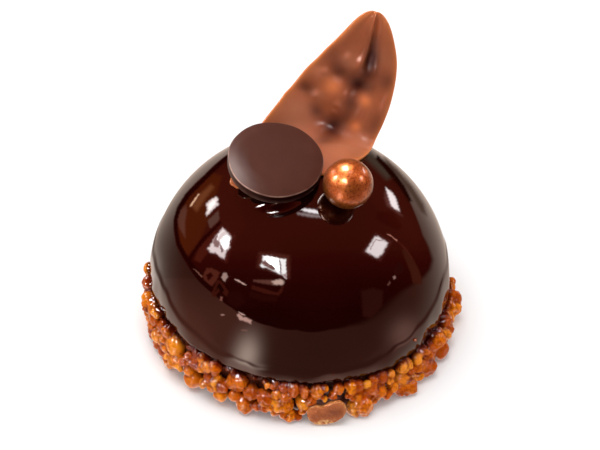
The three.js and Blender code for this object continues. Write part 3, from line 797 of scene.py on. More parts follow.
def flat_nut_material():
    n = Nodes("flat_nut")
    rim, crumbs, dark = n.channels("rim")
    grain = n.noise(1.0, 4.0, 0.6)
    base = n.ramp(grain, [(0.3, (0.36, 0.082, 0.016)), (0.7, (0.50, 0.140, 0.036))])
    base = n.mix(dark, base, (0.15, 0.030, 0.010))
    edge = n.ramp(n.noise(1.6, 3.0, 0.6), [(0.4, (0.45, 0.12, 0.02)), (0.62, (0.90, 0.42, 0.14))])
    base = n.mix(rim, base, edge)
    base = n.mix(n.product(crumbs, n.grey(n.noise(1.3, 3.0), 0, 1, 0.5, 0.58)), base,
                 (0.95, 0.60, 0.24))
    n.shade(Base_Color=base, Roughness=n.grey(grain, 0.35, 0.5), Specular_IOR_Level=0.3,
            Normal=n.bump(n.noise(1.6, 4.0, 0.65), 0.8, 0.4))
    return n.material


def make_flat_piece():
    width, height, thickness = FLAT_SIZE
    loop = bean_outline() * [width / 2, height / 2]
    rings, rims = [], []
    for share, depth in BEAN_EDGE + [(share, -depth) for share, depth in reversed(BEAN_EDGE)]:
        rings.append(np.insert(loop * share, 2, depth * thickness / 2, axis=1))
        rims.append(np.full(len(loop), 0.8 * float(smoothstep(0.9, 0.99, share))))
    points, faces = closed_rings(rings, -thickness / 2, thickness / 2)
    rims = with_poles(rims)
    x, y = points[:, 0] / width * 2, points[:, 1] / height * 2
    crumbs = smoothstep(-0.35, -0.7, y) * bell(x + 0.2, 0.5)
    dark = 0.75 * bell(np.hypot(x - 0.35, y - 0.1), 0.45) + 0.4 * bell(np.hypot(x + 0.5, y), 0.3)
    bumps = fractal(points, 0.9, 4)
    points[:, 2] += FLAT_BUMPS[0] * bumps
    points[:, :2] *= (1 + FLAT_BUMPS[1] * bumps * rims)[:, None]
    mesh_piece("flat_nut_piece", points @ np.array(FLAT_TURN).T + FLAT_CENTRE, faces,
               flat_nut_material(), replaces=["flat_piece"],
               colours={"rim": colour_layer(rims, crumbs, dark)})


make_flat_piece()

# ---------------------------------------------------------------- chocolate disc


def disc_material():
    n = Nodes("dark_chocolate_disc")
    rim, side, painted_sheen = n.channels("rim")
    cloud = n.noise(0.16, 3.0, 0.6)
    colour = n.ramp(cloud, [(0.3, (0.050, 0.0145, 0.0085)), (0.7, (0.062, 0.0185, 0.0115))])
    # painted shade on the side and base, less on the lit left part
    colour = n.mix(side, colour, (0.008, 0.0008, 0.0006))
    # painted sheen beside the left edge of the top
    colour = n.mix(n.product(painted_sheen, n.grey(cloud, 0.6, 1.0)), colour, (0.25, 0.18, 0.165))
    # painted highlight along the rim, strongest on the left
    edge = n.product(rim, n.grey(n.noise(0.5, 3.0), 0.3, 1.0, 0.35, 0.6))
    colour = n.mix(edge, colour, (0.62, 0.36, 0.28))
    n.shade(Base_Color=colour, Roughness=n.grey(cloud, 0.30, 0.38), IOR=1.46,
            Specular_IOR_Level=0.04, Normal=n.bump(n.noise(1.5, 3.0), 0.12, 0.2))
    return n.material


DISC_WOBBLE = [(0.06, 3, 1), (0.04, 7, 0)]  # depth, number of crests and phase
DISC_BEVEL = 0.32
DISC_SIDE = -0.5  # height, from the top's middle, where the side begins


def disc_profile():
    """Reach, height and share of the painted rim highlight, from the middle of the top to that of the
    base.
    """
    profile = [(share * DISC_RADIUS, -DISC_CROWN * float(smoothstep(0.78, 1.0, share)), 0.0)
               for share in (0.15, 0.35, 0.55, 0.75, 0.8, 0.85, 0.9, 0.94)]
    for degrees, rim in ((0, 0.0), (22, 0.3), (45, 1.0), (67, 0.8), (90, 0.0)):
        turn = math.radians(degrees)
        profile.append((DISC_RADIUS - DISC_BEVEL * (1 - math.sin(turn)),
                        -DISC_CROWN - DISC_BEVEL * (1 - math.cos(turn)), rim))
    profile += [(DISC_RADIUS, -0.65, 0.0), (DISC_RADIUS - 0.03, -DISC_THICKNESS * 0.5, 0.0)]
    for turn in np.radians((0, 30, 60, 90)):
        profile.append((DISC_RADIUS - DISC_BEVEL * (1 - math.cos(turn)),
                        -DISC_THICKNESS + DISC_BEVEL * (1 - math.sin(turn)), 0.15))
    return profile + [(DISC_RADIUS * share, -DISC_THICKNESS, 0.0) for share in (0.8, 0.5, 0.2)]


def make_disc():
    angle = even_angles(256)
    # the rim's painted light line, the painted sheen beside it and the lit part of the side, which gets
    # less painted shade: left and in front
    lit, sheen_side = bell_at(angle, 215, 50), bell_at(angle, 204, 28)
    unlit = 1 - 0.9 * bell_at(angle, 200, 38)
    rings, rims, side_shades, painted_sheens = [], [], [], []
    for reach, height, rim in disc_profile():
        share = reach / DISC_RADIUS
        rings.append(ring_at(angle, reach + waves(angle, DISC_WOBBLE) * share, height))
        rims.append(rim * (0.25 + 0.75 * lit))
        side_shades.append((height < DISC_SIDE) * unlit)
        painted_sheens.append(sheen_side * smoothstep(0.6, 0.96, share) * (height > DISC_SIDE))
    points, faces = closed_rings(rings, 0, -DISC_THICKNESS)
    rim_layer = colour_layer(with_poles(rims), with_poles(side_shades, 0, 1), with_poles(painted_sheens))
    mesh_piece("chocolate_disc", points @ DISC_TURN.T + DISC_TOP, faces, disc_material(),
               replaces=["disc"], colours={"rim": rim_layer})


make_disc()

# ---------------------------------------------------------------- pearl

PEARL_RADIUS = 6.25
PEARL_AT = np.array([11.89, -12.87, 53.13])
PEARL_BUMPS = 0.03


def pearl_material():
    n = Nodes("bronze_lustre")
    dust = n.noise(1.7, 5.0, 0.7)
    cloud = n.noise(0.3, 3.0, 0.6)
    colour = n.ramp(dust, [(0.34, (0.11, 0.020, 0.002)), (0.46, (0.34, 0.087, 0.010)),
                           (0.70, (0.58, 0.198, 0.036))])
    colour = n.mix(n.grey(cloud, 0, 0.5, 0.45, 0.7), colour, (0.24, 0.055, 0.006))
    n.shade(Base_Color=colour, Metallic=0.75, Roughness=n.grey(dust, 0.40, 0.28, 0.3, 0.7),
            Coat_Weight=0.8, Coat_Roughness=0.17,
            Normal=n.bump(n.noise(1.2, 5.0, 0.7), 0.4, 0.25))
    return n.material


def make_pearl():
    directions, faces = sphere_grid(level=6)
    reach = PEARL_RADIUS + PEARL_BUMPS * (fractal(directions, 2.4, 4) - 1)
    mesh_piece("bronze_pearl", directions * reach[:, None] + PEARL_AT, faces.tolist(),
               pearl_material(), replaces=["pearl"])


make_pearl()

# ---------------------------------------------------------------- leaf

LEAF_TURN = math.radians(18)
LEAF_LEAN = math.radians(68)
LEAF_BEND = 7.0  # radius of the fillet between the lying and the standing part
LEAF_OVER = 0.85  # how far the lying part's middle is above the glaze
LEAF_STAND = np.array([12.0, 47.0])  # a point of the straight blade, backwards and up
LEAF_SPINE = np.array([  # midrib on the unbent sheet
    [-17.4, -20], [-5, -13.8], [8.5, -6.8], [16.5, 1.5], [22.1, 9.9], [27, 21.3]])
LEAF_HALF_WIDTH = np.array([0.8, 4.9, 9.6, 12.5, 13.9, 13.6, 12.9, 11.6, 9.85, 6.8, 0.9])
LEAF_THICKNESS = 1.25
LEAF_EDGE = 0.75  # thickness of its edge
LEAF_CURL = 1.6  # how far the foot's end lifts off the glaze
LEAF_LENGTH = 63.0
LEAF_STEPS, LEAF_COLUMNS = 200, 90
LEAF_SIDE = 38.0  # how far to the side the arc over the dome is still followed
LEAF_RIPPLE = 0.12
LEAF_RIM = 0.6  # width of the thin rim, painted lighter as a glow of light through it
LEAF_RIB = (0.28, 0.08)  # height of the raised rib and its width across the leaf
LEAF_CREASE = (1.3, -0.2, 0.13)  # depth, place across the leaf and width of the fold by its tip
LEAF_DENTS = [
    # place along the leaf, across it, depth, radius: those of the solids, a little softer
    (0.671, -0.185, 1.6, 4.2), (0.449, -0.144, 1.3, 4.0), (0.531, 0.804, 0.7, 3.2),
    (0.466, 0.317, 0.7, 3.0), (0.69, 0.391, 0.6, 3.2), (0.777, 0.869, 0.8, 3.2),
    (0.8, 0.42, 0.5, 2.6), (0.7, -0.8, 0.5, 3.0), (0.6, 0.347, -0.4, 3.4),
    (0.619, -0.43, -0.4, 3.0), (0.5, -0.62, -0.4, 3.6),
]
LEAF_GLOWS = [  # painted glow of light shining through thin places: along, across, strength, radius
    (0.60, 0.347, 0.8, 2.4), (0.619, -0.44, 0.8, 1.76), (0.50, -0.5, 0.8, 1.6)]
LEAF_SHADES = [
    # painted shade, darker zones: the same four values
    (0.90, -0.19, 0.4, 1.4), (0.865, -0.21, 0.6, 1.7), (0.825, -0.23, 0.8, 2.0),
    (0.79, -0.24, 0.7, 2.1), (0.749, -0.25, 0.55, 2.4),
    (0.672, -0.17, 1.0, 3.6), (0.577, -0.18, 0.65, 2.6), (0.517, -0.23, 0.4, 2.4),
    (0.446, -0.14, 1.0, 3.4), (0.367, -0.18, 0.45, 2.2), (0.534, 0.77, 0.6, 2.5),
    (0.75, 0.70, 0.5, 3.0), (0.689, 0.38, 0.65, 2.6), (0.455, 0.32, 0.6, 2.4),
    (0.746, -0.81, 0.45, 2.6), (0.551, -0.88, 0.45, 3.0), (0.5, -0.55, 0.3, 2.4),
]
LEAF_SHEEN = [
    # painted sheen, paler zones: the same four values
    (0.40, 0.6, 0.8, 5.5), (0.28, 0.5, 0.6, 5.5), (0.38, -0.6, 0.8, 4.5), (0.46, -0.8, 0.5, 3.0),
    (0.765, 0.36, 0.6, 2.6), (0.64, 0.75, 0.5, 2.2), (0.53, 0.5, 0.4, 2.0), (0.83, -0.5, 0.4, 3.0),
    (0.32, 0.0, 0.5, 4.0),
]
LEAF_RIDGES = [
    # glossy ridges: along, across, height, length, width
    (0.78, 0.04, 0.56, 2.0, 0.8), (0.775, -0.41, 0.48, 1.6, 0.8), (0.593, 0.01, 0.48, 1.2, 0.7),
    (0.536, 0.055, 0.72, 1.1, 0.9), (0.5, 0.02, 0.48, 0.8, 0.7), (0.558, -0.43, 0.56, 2.2, 0.8),
    (0.394, 0.02, 0.48, 1.6, 0.7), (0.644, -0.87, 0.48, 2.4, 0.9), (0.525, 0.52, 0.48, 1.4, 1.0),
    (0.653, 0.67, 0.4, 1.5, 1.1), (0.784, 0.38, 0.4, 1.8, 1.2),
]


def leaf_point(along, up):
    """Bent sheet: a circle over the glaze, a fillet, then a straight blade."""
    direction = np.array([math.cos(LEAF_LEAN), math.sin(LEAF_LEAN)])
    side = np.array([-math.sin(LEAF_LEAN), math.cos(LEAF_LEAN)])
    lying = np.sqrt((DOME_RADIUS + LEAF_OVER) ** 2 - np.minimum(np.abs(along), LEAF_SIDE) ** 2)
    middle = LEAF_STAND + side * LEAF_BEND
    b = middle @ direction
    start = -b + np.sqrt(b * b - middle @ middle + (lying + LEAF_BEND) ** 2)
    bend_middle = middle + start[..., None] * direction
    first = math.atan2(-side[1], -side[0])
    touch = np.arctan2(bend_middle[..., 1], bend_middle[..., 0])
    sweep = (first + 2 * math.pi - (touch + math.pi)) % (2 * math.pi)
    below = start - up

    def circle(angle, radius):
        return np.stack([np.cos(angle) * radius, np.sin(angle) * radius], -1)

    blade = LEAF_STAND + up[..., None] * direction
    bend = bend_middle + circle(first - below / LEAF_BEND, LEAF_BEND)
    lie = circle(touch + (below - LEAF_BEND * sweep) / lying, lying)
    section = np.where((below <= 0)[..., None], blade,
                       np.where((below <= LEAF_BEND * sweep)[..., None], bend, lie))
    return np.stack([along * math.cos(LEAF_TURN) - section[..., 0] * math.sin(LEAF_TURN),
                     along * math.sin(LEAF_TURN) + section[..., 0] * math.cos(LEAF_TURN),
                     section[..., 1]], -1)


def leaf_middle(t, v):
    """Middle of the leaf's thickness; t is 0..1 from foot to tip and v -1..1 across."""
    step = 0.002
    x, y = (through_values(LEAF_SPINE[:, k], t) for k in (0, 1))
    dx, dy = (through_values(LEAF_SPINE[:, k], np.minimum(t + step, 1))
              - through_values(LEAF_SPINE[:, k], np.maximum(t - step, 0)) for k in (0, 1))
    length = np.hypot(dx, dy)
    width = np.sqrt(np.maximum(through_values(LEAF_HALF_WIDTH**2, t), 0.3)) * v
    point = leaf_point(x - dy / length * width, y + dx / length * width)
    curl = LEAF_CURL * (1 - smoothstep(0, 0.22, t))
    return point * (1 + curl / DOME_RADIUS)[..., None]


def on_leaf(t, v, along, across, length=1, width=1):
    """Distance on the leaf from a place on it, as a multiple of a length and a width."""
    here = through_values(LEAF_HALF_WIDTH, t)
    return np.hypot((t - along) * LEAF_LENGTH / length, (v - across) * here / width)


def leaf_zones(t, v, zones):
    """Sum of round zones, each with its place along and across, its strength and its radius."""
    return sum(strength * bell(on_leaf(t, v, along, across), radius)
               for along, across, strength, radius in zones)


def leaf_relief(t, v):
    """How far the blade is pressed in from the front."""
    rib_height, rib_width = LEAF_RIB
    depth, across, width = LEAF_CREASE
    relief = (leaf_zones(t, v, LEAF_DENTS)
              - rib_height * bell(v, rib_width) * smoothstep(0.66, 0.82, t)
              + depth * bell(v - across, width) * smoothstep(0.7, 0.8, t)
              * (1 - smoothstep(0.94, 1.0, t)))
    for along, across, height, length, width in LEAF_RIDGES:
        relief = relief - height * bell(on_leaf(t, v, along, across, length, width), 1)
    ripple = LEAF_RIPPLE * np.sin(9 * t * LEAF_LENGTH / 20 + 5 * v) * np.sin(7 * v - t * 11)
    calm_edge = 1 - 0.7 * smoothstep(0.82, 1.0, np.abs(v))
    return (relief + ripple) * calm_edge * smoothstep(0.36, 0.46, t)


def leaf_material():
    n = Nodes("milk_chocolate_leaf")
    rim, through_glow, leaf_shade = n.channels("leaf")
    cloud = n.noise(0.12, 3.0, 0.6)
    base = n.ramp(cloud, [(0.3, (0.29, 0.068, 0.020)), (0.7, (0.40, 0.100, 0.031))])
    pale_sheen, _, _ = n.channels("pale_sheen")
    # painted sheen in the paler zones
    base = n.mix(pale_sheen, base, (0.47, 0.155, 0.072))
    # painted shade in the darker zones
    base = n.mix(leaf_shade, base, (0.040, 0.004, 0.0005))
    # painted glow, as of light shining through thin places
    base = n.mix(through_glow, base, (0.72, 0.19, 0.050))
    # painted glow of light through the thin rim
    base = n.mix(rim, base, (0.66, 0.19, 0.040))
    n.shade(Base_Color=base, Roughness=n.grey(cloud, 0.30, 0.40), IOR=1.46,
            Coat_Weight=0.15, Coat_Roughness=0.12, Coat_IOR=1.5,
            Subsurface_Weight=0.3, Subsurface_Scale=1 * MM, Subsurface_Radius=(1.0, 0.4, 0.2),
            Normal=n.bump(n.noise(0.4, 3.0), 0.2, 0.5))
    return n.material


def sheet_faces(steps, columns):
    """Faces of a sheet of points, of the same one behind it and of the border between the two."""
    row = columns + 1
    back = (steps + 1) * row
    faces = []
    for i in range(steps):
        for a in range(i * row, i * row + columns):
            b = a + row
            faces += [(a, b, b + 1, a + 1), (a + 1 + back, b + 1 + back, b + back, a + back)]
    border = [*range(columns), *(i * row + columns for i in range(steps)),
              *(steps * row + j for j in range(columns, 0, -1)),
              *(i * row for i in range(steps, 0, -1))]
    for start, end in zip(border, border[1:] + border[:1]):
        faces.append((start, end, end + back, start + back))
    return faces


def make_leaf():
    # the rows lie closer by the ends and the columns by the edges
    i = np.arange(LEAF_STEPS + 1)[:, None] / LEAF_STEPS
    t = 0.5 - 0.5 * np.cos(math.pi * i) * (1 - 0.25 * np.sin(math.pi * i))
    v = np.sin(math.pi / 2 * (2 * np.arange(LEAF_COLUMNS + 1)[None, :] / LEAF_COLUMNS - 1))
    t, v = np.broadcast_arrays(t, v)
    here = leaf_middle(t, v)
    dt, dv = 0.01, 0.02
    along_t = leaf_middle(np.minimum(t + dt, 1), v) - leaf_middle(np.maximum(t - dt, 0), v)
    along_v = leaf_middle(t, np.minimum(v + dv, 1)) - leaf_middle(t, np.maximum(v - dv, -1))
    normal = np.cross(along_t, along_v)
    normal /= np.linalg.norm(normal, axis=-1, keepdims=True)
    here = here - normal * leaf_relief(t, v)[..., None] + [0, 0, CENTRE_HEIGHT]
    rounding = (np.sqrt(np.maximum(1 - np.abs(v) ** 6, 0)) * smoothstep(-0.02, 0.06, t)
                * (1 - smoothstep(0.94, 1.02, t)))
    half = normal * 0.5 * (LEAF_EDGE + (LEAF_THICKNESS - LEAF_EDGE) * rounding)[..., None]
    points = np.concatenate([(here + half).reshape(-1, 3), (here - half).reshape(-1, 3)])
    width = through_values(LEAF_HALF_WIDTH, t)
    to_edge = np.minimum((1 - np.abs(v)) * width, (1 - t) * LEAF_LENGTH)
    # layers of painted light: glow along the rim and in thin places, painted shade and painted sheen
    rim, through_glow, leaf_shade, pale_sheen = (np.tile(np.clip(layer, 0, 1).ravel(), 2) for layer in (
        np.exp(-to_edge / LEAF_RIM), leaf_zones(t, v, LEAF_GLOWS), leaf_zones(t, v, LEAF_SHADES),
        leaf_zones(t, v, LEAF_SHEEN)))
    mesh_piece("chocolate_leaf", points, sheet_faces(LEAF_STEPS, LEAF_COLUMNS), leaf_material(),
               replaces=["leaf"],
               colours={"leaf": colour_layer(rim, through_glow, leaf_shade),
                        "pale_sheen": colour_layer(pale_sheen, pale_sheen, pale_sheen)})


make_leaf()

# ---------------------------------------------------------------- floor, room and light

FLOOR_RADIUS = 3000.0
FLOOR_GREY, FLOOR_GLOW = 0.84, 0.07
WORLD_COLOUR, WORLD_STRENGTH = (0.97, 0.98, 0.98, 1), 0.78
LIGHT_AT = Vector((-150, 80, 850))
LIGHT_TO = Vector((0, 0, 20))
LIGHT_SIZE, LIGHT_WATTS = 800, 5.2
ROOM_DISTANCE = 1500.0
ROOM_RINGS, ROOM_STEPS = 300, 1080
ROOM_EDGE = 0.9995  # share of the dome's radius up to which its mirror image is painted
RIPPLE = 0.25  # how far the glaze's ripples bend the edges of mirrored things, in pixels
GLAZE_BODY = np.array([0.008, 0.0007, 0.0005])  # light that the glaze shows without mirroring
SCREEN_GAMMA = 2.2
WHITE, SILVER, PALE, SMOKE = (242, 238, 238), (216, 202, 202), (214, 196, 194), (128, 98, 96)
DAYLIGHT = (680, 674, 670)  # brighter than a screen can show, for the pearl and the nuts
# Things that show in the glaze, the later ones over the earlier ones: the colour they have there
# (0..255, as on a screen), how soft their edge is and the outline of their mirror image, both
# in pixels of the photograph.
MIRRORED = [
    ("left_wall", (66, 27, 14), 2.5, [(198, 181), (212, 172), (222, 176), (214, 200), (208, 222),
        (200, 240), (190, 253), (185, 258), (181, 250), (179, 240), (178, 228), (180, 212), (188, 195)]),
    ("left_strip", (80, 47, 38), 1.6, [(178, 212), (186, 205), (187, 210), (185, 222), (185, 238),
        (179, 228), (177, 220)]),
    ("left_sheen", (94, 52, 32), 2.5, [(192, 206), (200, 194), (211, 184), (214, 187), (205, 199),
        (197, 211)]),
    ("left_floor", (66, 26, 19), 1.5, [(219, 229), (208, 238), (199, 249), (194, 260), (200, 263),
        (208, 253), (216, 241)]),
    ("left_dark", (38, 4, 2), 1.0, [(220.8, 220.8), (211, 229.4), (201.7, 238), (191, 253), (187, 261),
        (190, 262), (195, 253), (205, 240.5), (213, 232), (222, 223)]),
    ("left_edge", (34, 3, 2), 1.2, [(173.6, 230), (173.5, 219), (177, 207), (186, 193), (204, 175.4),
        (226, 155.6), (229, 158.4), (208, 178), (190, 196), (181, 209), (177.4, 220), (177.4, 230),
        (180, 243), (187.6, 257), (198, 270), (210, 283), (222, 294), (218, 297.6), (206, 288),
        (193.6, 274), (183.4, 259), (176.4, 245)]),
    ("shelf", (60, 25, 19), 1.0, [(252, 285.5), (265.3, 289.2), (275, 292.4), (278.5, 292), (281, 288),
        (281.9, 285.6), (283.4, 285.8), (282, 292), (278.5, 295.6), (266, 294), (252, 289.5)]),
    ("shelf_floor", (42, 15, 11), 1.5, [(250, 291), (265, 295.5), (278, 297), (276, 302), (262, 301),
        (250, 297)]),
    ("low_step", (40, 14, 12), 2.0, [(228, 292), (240, 291), (246, 302), (236, 308), (228, 302)]),
    ("top_right", (62, 50, 42), 4.5, [(362, 152), (372, 152), (384, 163), (392, 176), (387, 179),
        (377, 169), (367, 160)]),
    ("outer_right", (74, 56, 48), 2.5, [(384, 157), (396, 168), (412, 186), (424, 205), (427, 216),
        (421, 212), (411, 196), (399, 179), (387, 166)]),
    ("top_right_line", (34, 12, 8), 1.5, [(378, 155), (392, 169), (404, 185), (412, 201), (409, 202),
        (399, 187), (388, 173), (376, 159)]),
    ("right_quad", (52, 17, 13), 2.0, [(377, 212), (392, 212), (402, 226), (398, 230), (383, 224),
        (376, 219)]),
    ("right_zone", (57, 26, 19), 1.4, [(404, 247), (409, 253), (414.4, 261), (418.6, 269), (421.6, 277),
        (422, 284), (413, 283), (410.8, 273), (406.7, 261.5), (402.6, 252)]),
    ("right_cell", (44, 16, 13), 1.0, [(399, 261), (404.5, 266), (403.5, 271.5), (397.5, 275.5),
        (393, 270.5)]),
    ("right_spot", (132, 98, 92), 0.7, [(393, 276), (395.6, 275.4), (396, 278), (393.6, 279)]),
    ("right_spot_low", (92, 58, 52), 0.8, [(387, 284.6), (389.6, 281), (390.4, 283), (388, 286)]),
    ("right_low_quad", (46, 20, 17), 2.0, [(361, 291), (372, 288), (383, 291), (382, 306), (372, 318),
        (363, 316)]),
    ("window_halo", (72, 30, 26), 3.0, [(222, 226), (235, 236), (226, 262), (205, 249)]),
    ("middle_halo", (78, 40, 34), 3.0, [(260, 252.5), (275, 254), (289, 256), (289, 278), (286, 279),
        (274, 272), (258, 267)]),
    ("right_halo", (74, 36, 32), 3.0, [(376, 234), (391, 242), (380, 260), (363, 252)]),
    ("tall_right_halo", (84, 50, 46), 2.2, [(385, 192), (389, 190), (400, 214), (402, 216), (387, 206),
        (384.6, 198)]),
    ("left_beam", (205, 160, 130), 0.8, [(189.8, 206), (192.6, 201.4), (198.4, 193.6), (199.2, 194),
        (194, 202.5), (190.8, 206.4)]),
    ("tall_left", PALE, 1.3, [(206, 203.8), (211.5, 199.2), (215.6, 196.9), (217.2, 197.6),
        (217.9, 200.6), (216.5, 202.4), (218.8, 204.9), (215.6, 207), (212.4, 210.2), (207, 215.6),
        (206, 214), (207.3, 209.3)]),
    ("tall_left_light", (236, 230, 226), 1.0, [(208.4, 205), (212, 201), (215, 200), (215, 204),
        (211, 209), (208.6, 211)]),
    ("tall_left_low", (80, 54, 48), 0.9, [(207.8, 220.3), (212.4, 216.2), (218.4, 210.9), (219.7, 219.4),
        (215.2, 224.2), (210.3, 228.2), (209.2, 225.8)]),
    ("window_left", PALE, 1.3, [(223, 227.6), (225.3, 229.5), (228.5, 232.7), (231.7, 237.3),
        (229.6, 240.5), (229.6, 245.1), (230.3, 247.4), (226.2, 251.1), (225.7, 252.9), (223.9, 258.6),
        (220.7, 257.2), (215.6, 252.9), (211, 252.9), (207.8, 248.3), (209.9, 247.2), (210.6, 245.1),
        (212.4, 242.8), (214.2, 238.7), (218.4, 233.2), (220.7, 230.4)]),
    ("window_left_light", WHITE, 1.2, [(220.4, 240), (224, 236), (227.6, 233.6), (231, 237.4), (229, 241),
        (229, 246), (225.6, 250), (222.4, 246.6), (220.6, 243)]),
    ("window_left_core", DAYLIGHT, 1.6, [(221.8, 241), (226, 236.6), (229, 238), (227.6, 245),
        (225, 248)]),
    ("window_left_bars", SMOKE, 0.9, [(218.4, 233.8), (215.4, 236.8), (213, 242), (214.4, 246.4),
        (217.4, 248.4), (219.8, 245), (219.4, 241), (217, 240.6), (218.8, 236)]),
    ("window_left_post", (112, 84, 84), 0.7, [(219.6, 243.6), (221.6, 246.4), (223.6, 251.6),
        (221.4, 252.4), (220.4, 248.6)]),
    ("window_left_line", (240, 232, 230), 0.5, [(223, 230), (224.4, 230.4), (219.6, 235), (217.8, 240.4),
        (216.9, 240), (218.4, 234.4)]),
    ("window_middle", WHITE, 0.9, [(262.9, 255.8), (267.9, 255.7), (273.9, 257.4), (278.2, 258.2),
        (280.5, 259), (285.9, 259.3), (285.3, 265.2), (285.9, 271.2), (285.9, 278.8), (283.8, 277.2),
        (281.2, 274.4), (278.5, 273.9), (275.2, 271.9), (272.6, 270.6), (269.9, 269.6), (267.6, 267.6),
        (265.3, 267.9), (263.3, 267.6), (260.3, 265.4), (261.4, 264.6), (262.8, 262.4)]),
    ("window_middle_light", DAYLIGHT, 1.6, [(265.6, 257.6), (272, 258.6), (277, 260), (278, 270),
        (274, 266.4), (269, 262)]),
    ("window_middle_band", (112, 80, 76), 0.9, [(262.4, 261.4), (265.3, 260.6), (269.2, 263.6),
        (273.2, 265.9), (275.9, 268.4), (275, 270.6), (270.8, 269.6), (266.9, 267), (264.2, 265.8),
        (262.4, 264)]),
    ("window_middle_post", (112, 92, 92), 0.5, [(278.6, 260.2), (279.6, 260), (281, 264.6), (281.2, 274),
        (280, 274), (279.6, 265)]),
    ("window_middle_foot", (150, 122, 122), 0.9, [(281.6, 274.2), (285.8, 273.8), (285.9, 278.8)]),
    ("window_right", SILVER, 1.5, [(374.9, 236.5), (378, 236.5), (383.2, 240.1), (387.4, 242.8),
        (386.9, 245.4), (384.8, 248), (382.7, 253.2), (377, 257.4), (372.3, 254.8), (365.5, 251.1),
        (369.6, 244.9)]),
    ("window_right_frame", (136, 112, 108), 0.4, [(369.8, 248.8), (373, 242.6), (375.8, 238.8),
        (382.4, 240.6), (382, 241.4), (376.2, 240), (373.8, 243.2), (370.6, 249.4)]),
    ("tall_right", SILVER, 1.3, [(385.9, 187.8), (391.6, 192), (395.3, 197.3), (397.4, 204.1),
        (399.5, 211.4), (393.7, 208.2), (391.1, 205.6), (388.5, 197.3)]),
    ("right_arc", (165, 108, 94), 0.5, [(387.4, 233.4), (391.2, 235.6), (397.6, 240.8), (397.2, 241.6),
        (390.8, 236.4), (387.2, 234.2)]),
    ("right_arc_low", (66, 28, 22), 0.7, [(397.4, 240.8), (402.4, 244.6), (407.8, 250.4), (413, 258.4),
        (412, 258.8), (406.8, 251), (401.8, 245.6), (397, 241.8)]),
    ("wide_top", (238, 230, 232), 1.3, [(300, 209.4), (304, 208.6), (313, 209.6), (322, 211.8),
        (325, 214), (316, 213.6), (307, 212)]),
    ("wide_top_low", (132, 116, 116), 1.5, [(297, 212.5), (306, 213.2), (316, 215), (324, 216),
        (322, 218), (310, 217), (298, 214.5)]),
    ("brown_panel", (76, 36, 28), 1.0, [(206.5, 268.3), (212, 268), (219.6, 272), (217, 279),
        (211.8, 286.4), (205, 281), (202.5, 276.5)]),
    ("brown_panel_dark", (44, 12, 9), 0.8, [(206, 275), (211, 272), (213, 276), (208, 281)]),
    ("thin_line_left", (120, 78, 66), 0.5, [(193.2, 268.6), (198, 271.6), (202.6, 276.8), (201.8, 277),
        (197.2, 272.4)]),
    ("small_window", (150, 122, 114), 0.8, [(223.8, 272.3), (226.4, 273.2), (228.2, 276.8),
        (225.2, 281.8), (222.8, 280), (221.2, 277)]),
    ("crossed_bars", (58, 24, 18), 0.8, [(217, 280), (221, 281), (229, 292), (226.5, 297), (220, 290),
        (214, 298), (211, 294)]),
    ("crossed_bars_dark", (20, 2, 1), 0.8, [(218, 284), (220, 284), (224.6, 291), (222, 292.6),
        (218, 288.6), (215, 292)]),
    ("thin_line", (186, 150, 140), 0.5, [(235.2, 279), (240, 281.2), (246.2, 285.2), (246, 286),
        (239.8, 282.8), (235, 280)]),
    ("ledge", (88, 54, 47), 1.2, [(254, 280.2), (264, 280), (276, 280), (282, 280), (283, 285),
        (270.6, 284.8), (262, 283.4), (254, 281.8)]),
    ("ledge_light", (184, 154, 142), 1.3, [(272, 281.6), (277, 279.8), (281, 279.4), (283.8, 281.4),
        (282.6, 284.8), (274, 284.6)]),
    ("tiny_post", (120, 75, 66), 0.7, [(220.4, 296.4), (222.4, 297.2), (222, 301), (219.8, 300.4)]),
    ("hourglass", (176, 136, 126), 1.0, [(237, 314.6), (239, 313.8), (243.6, 317.4), (247, 317.6),
        (251.8, 320.4), (251.2, 323.8), (245.2, 321.2), (240, 320)]),
    ("hourglass_line", (190, 150, 140), 0.4, [(238.8, 312), (240, 312.2), (245.4, 315.2), (244.8, 316),
        (240.2, 313.6)]),
    ("dash", (150, 112, 102), 0.5, [(220.7, 314.4), (224.4, 314.8), (224, 316), (221, 315.8)]),
    ("dash_low", (118, 82, 74), 0.5, [(241.5, 329.6), (247.4, 329.8), (247, 331), (242, 330.6)]),
    # hidden from the camera behind the disc: the lamp that the pearl and the nuts mirror, which
    # is brighter than a screen can show
    ("ceiling_lamp", (330, 322, 322), 1.0, [(266, 176), (297, 174), (300, 197), (270, 201)]),
]


def mirror_directions(x, y):
    """Places of the dome's glaze that show at pixels of the photograph, and where they look."""
    rays = np.stack([x - PHOTO_WIDTH / 2, PHOTO_HEIGHT / 2 - y, np.full(len(x), -FOCAL_PX)], 1)
    rays = rays @ np.array(CAMERA_TURN.to_matrix()).T
    rays /= np.linalg.norm(rays, axis=1, keepdims=True)
    offset = np.array(CAMERA_AT - CENTRE)
    b = rays @ offset
    hit = offset + rays * (-b - np.sqrt(b * b - offset @ offset + DOME_RADIUS**2))[:, None]
    normal = hit / DOME_RADIUS
    facing = (rays * normal).sum(1, keepdims=True)
    return hit + np.array(CENTRE), rays - 2 * facing * normal


def make_floor():
    n = Nodes("pale_floor")
    n.shade(Base_Color=(*[FLOOR_GREY] * 3, 1), Roughness=0.9, Specular_IOR_Level=0.0,
            Emission_Color=(1, 1, 1, 1), Emission_Strength=FLOOR_GLOW)
    edge = ring_at(even_angles(96), FLOOR_RADIUS, 0)
    floor = mesh_object("floor", edge, [tuple(range(len(edge)))], n.material)
    floor.visible_glossy = False


def make_world():
    world = bpy.data.worlds.new("studio")
    bpy.context.scene.world = world
    world.use_nodes = True
    background = world.node_tree.nodes["Background"]
    background.inputs["Color"].default_value = WORLD_COLOUR
    background.inputs["Strength"].default_value = WORLD_STRENGTH


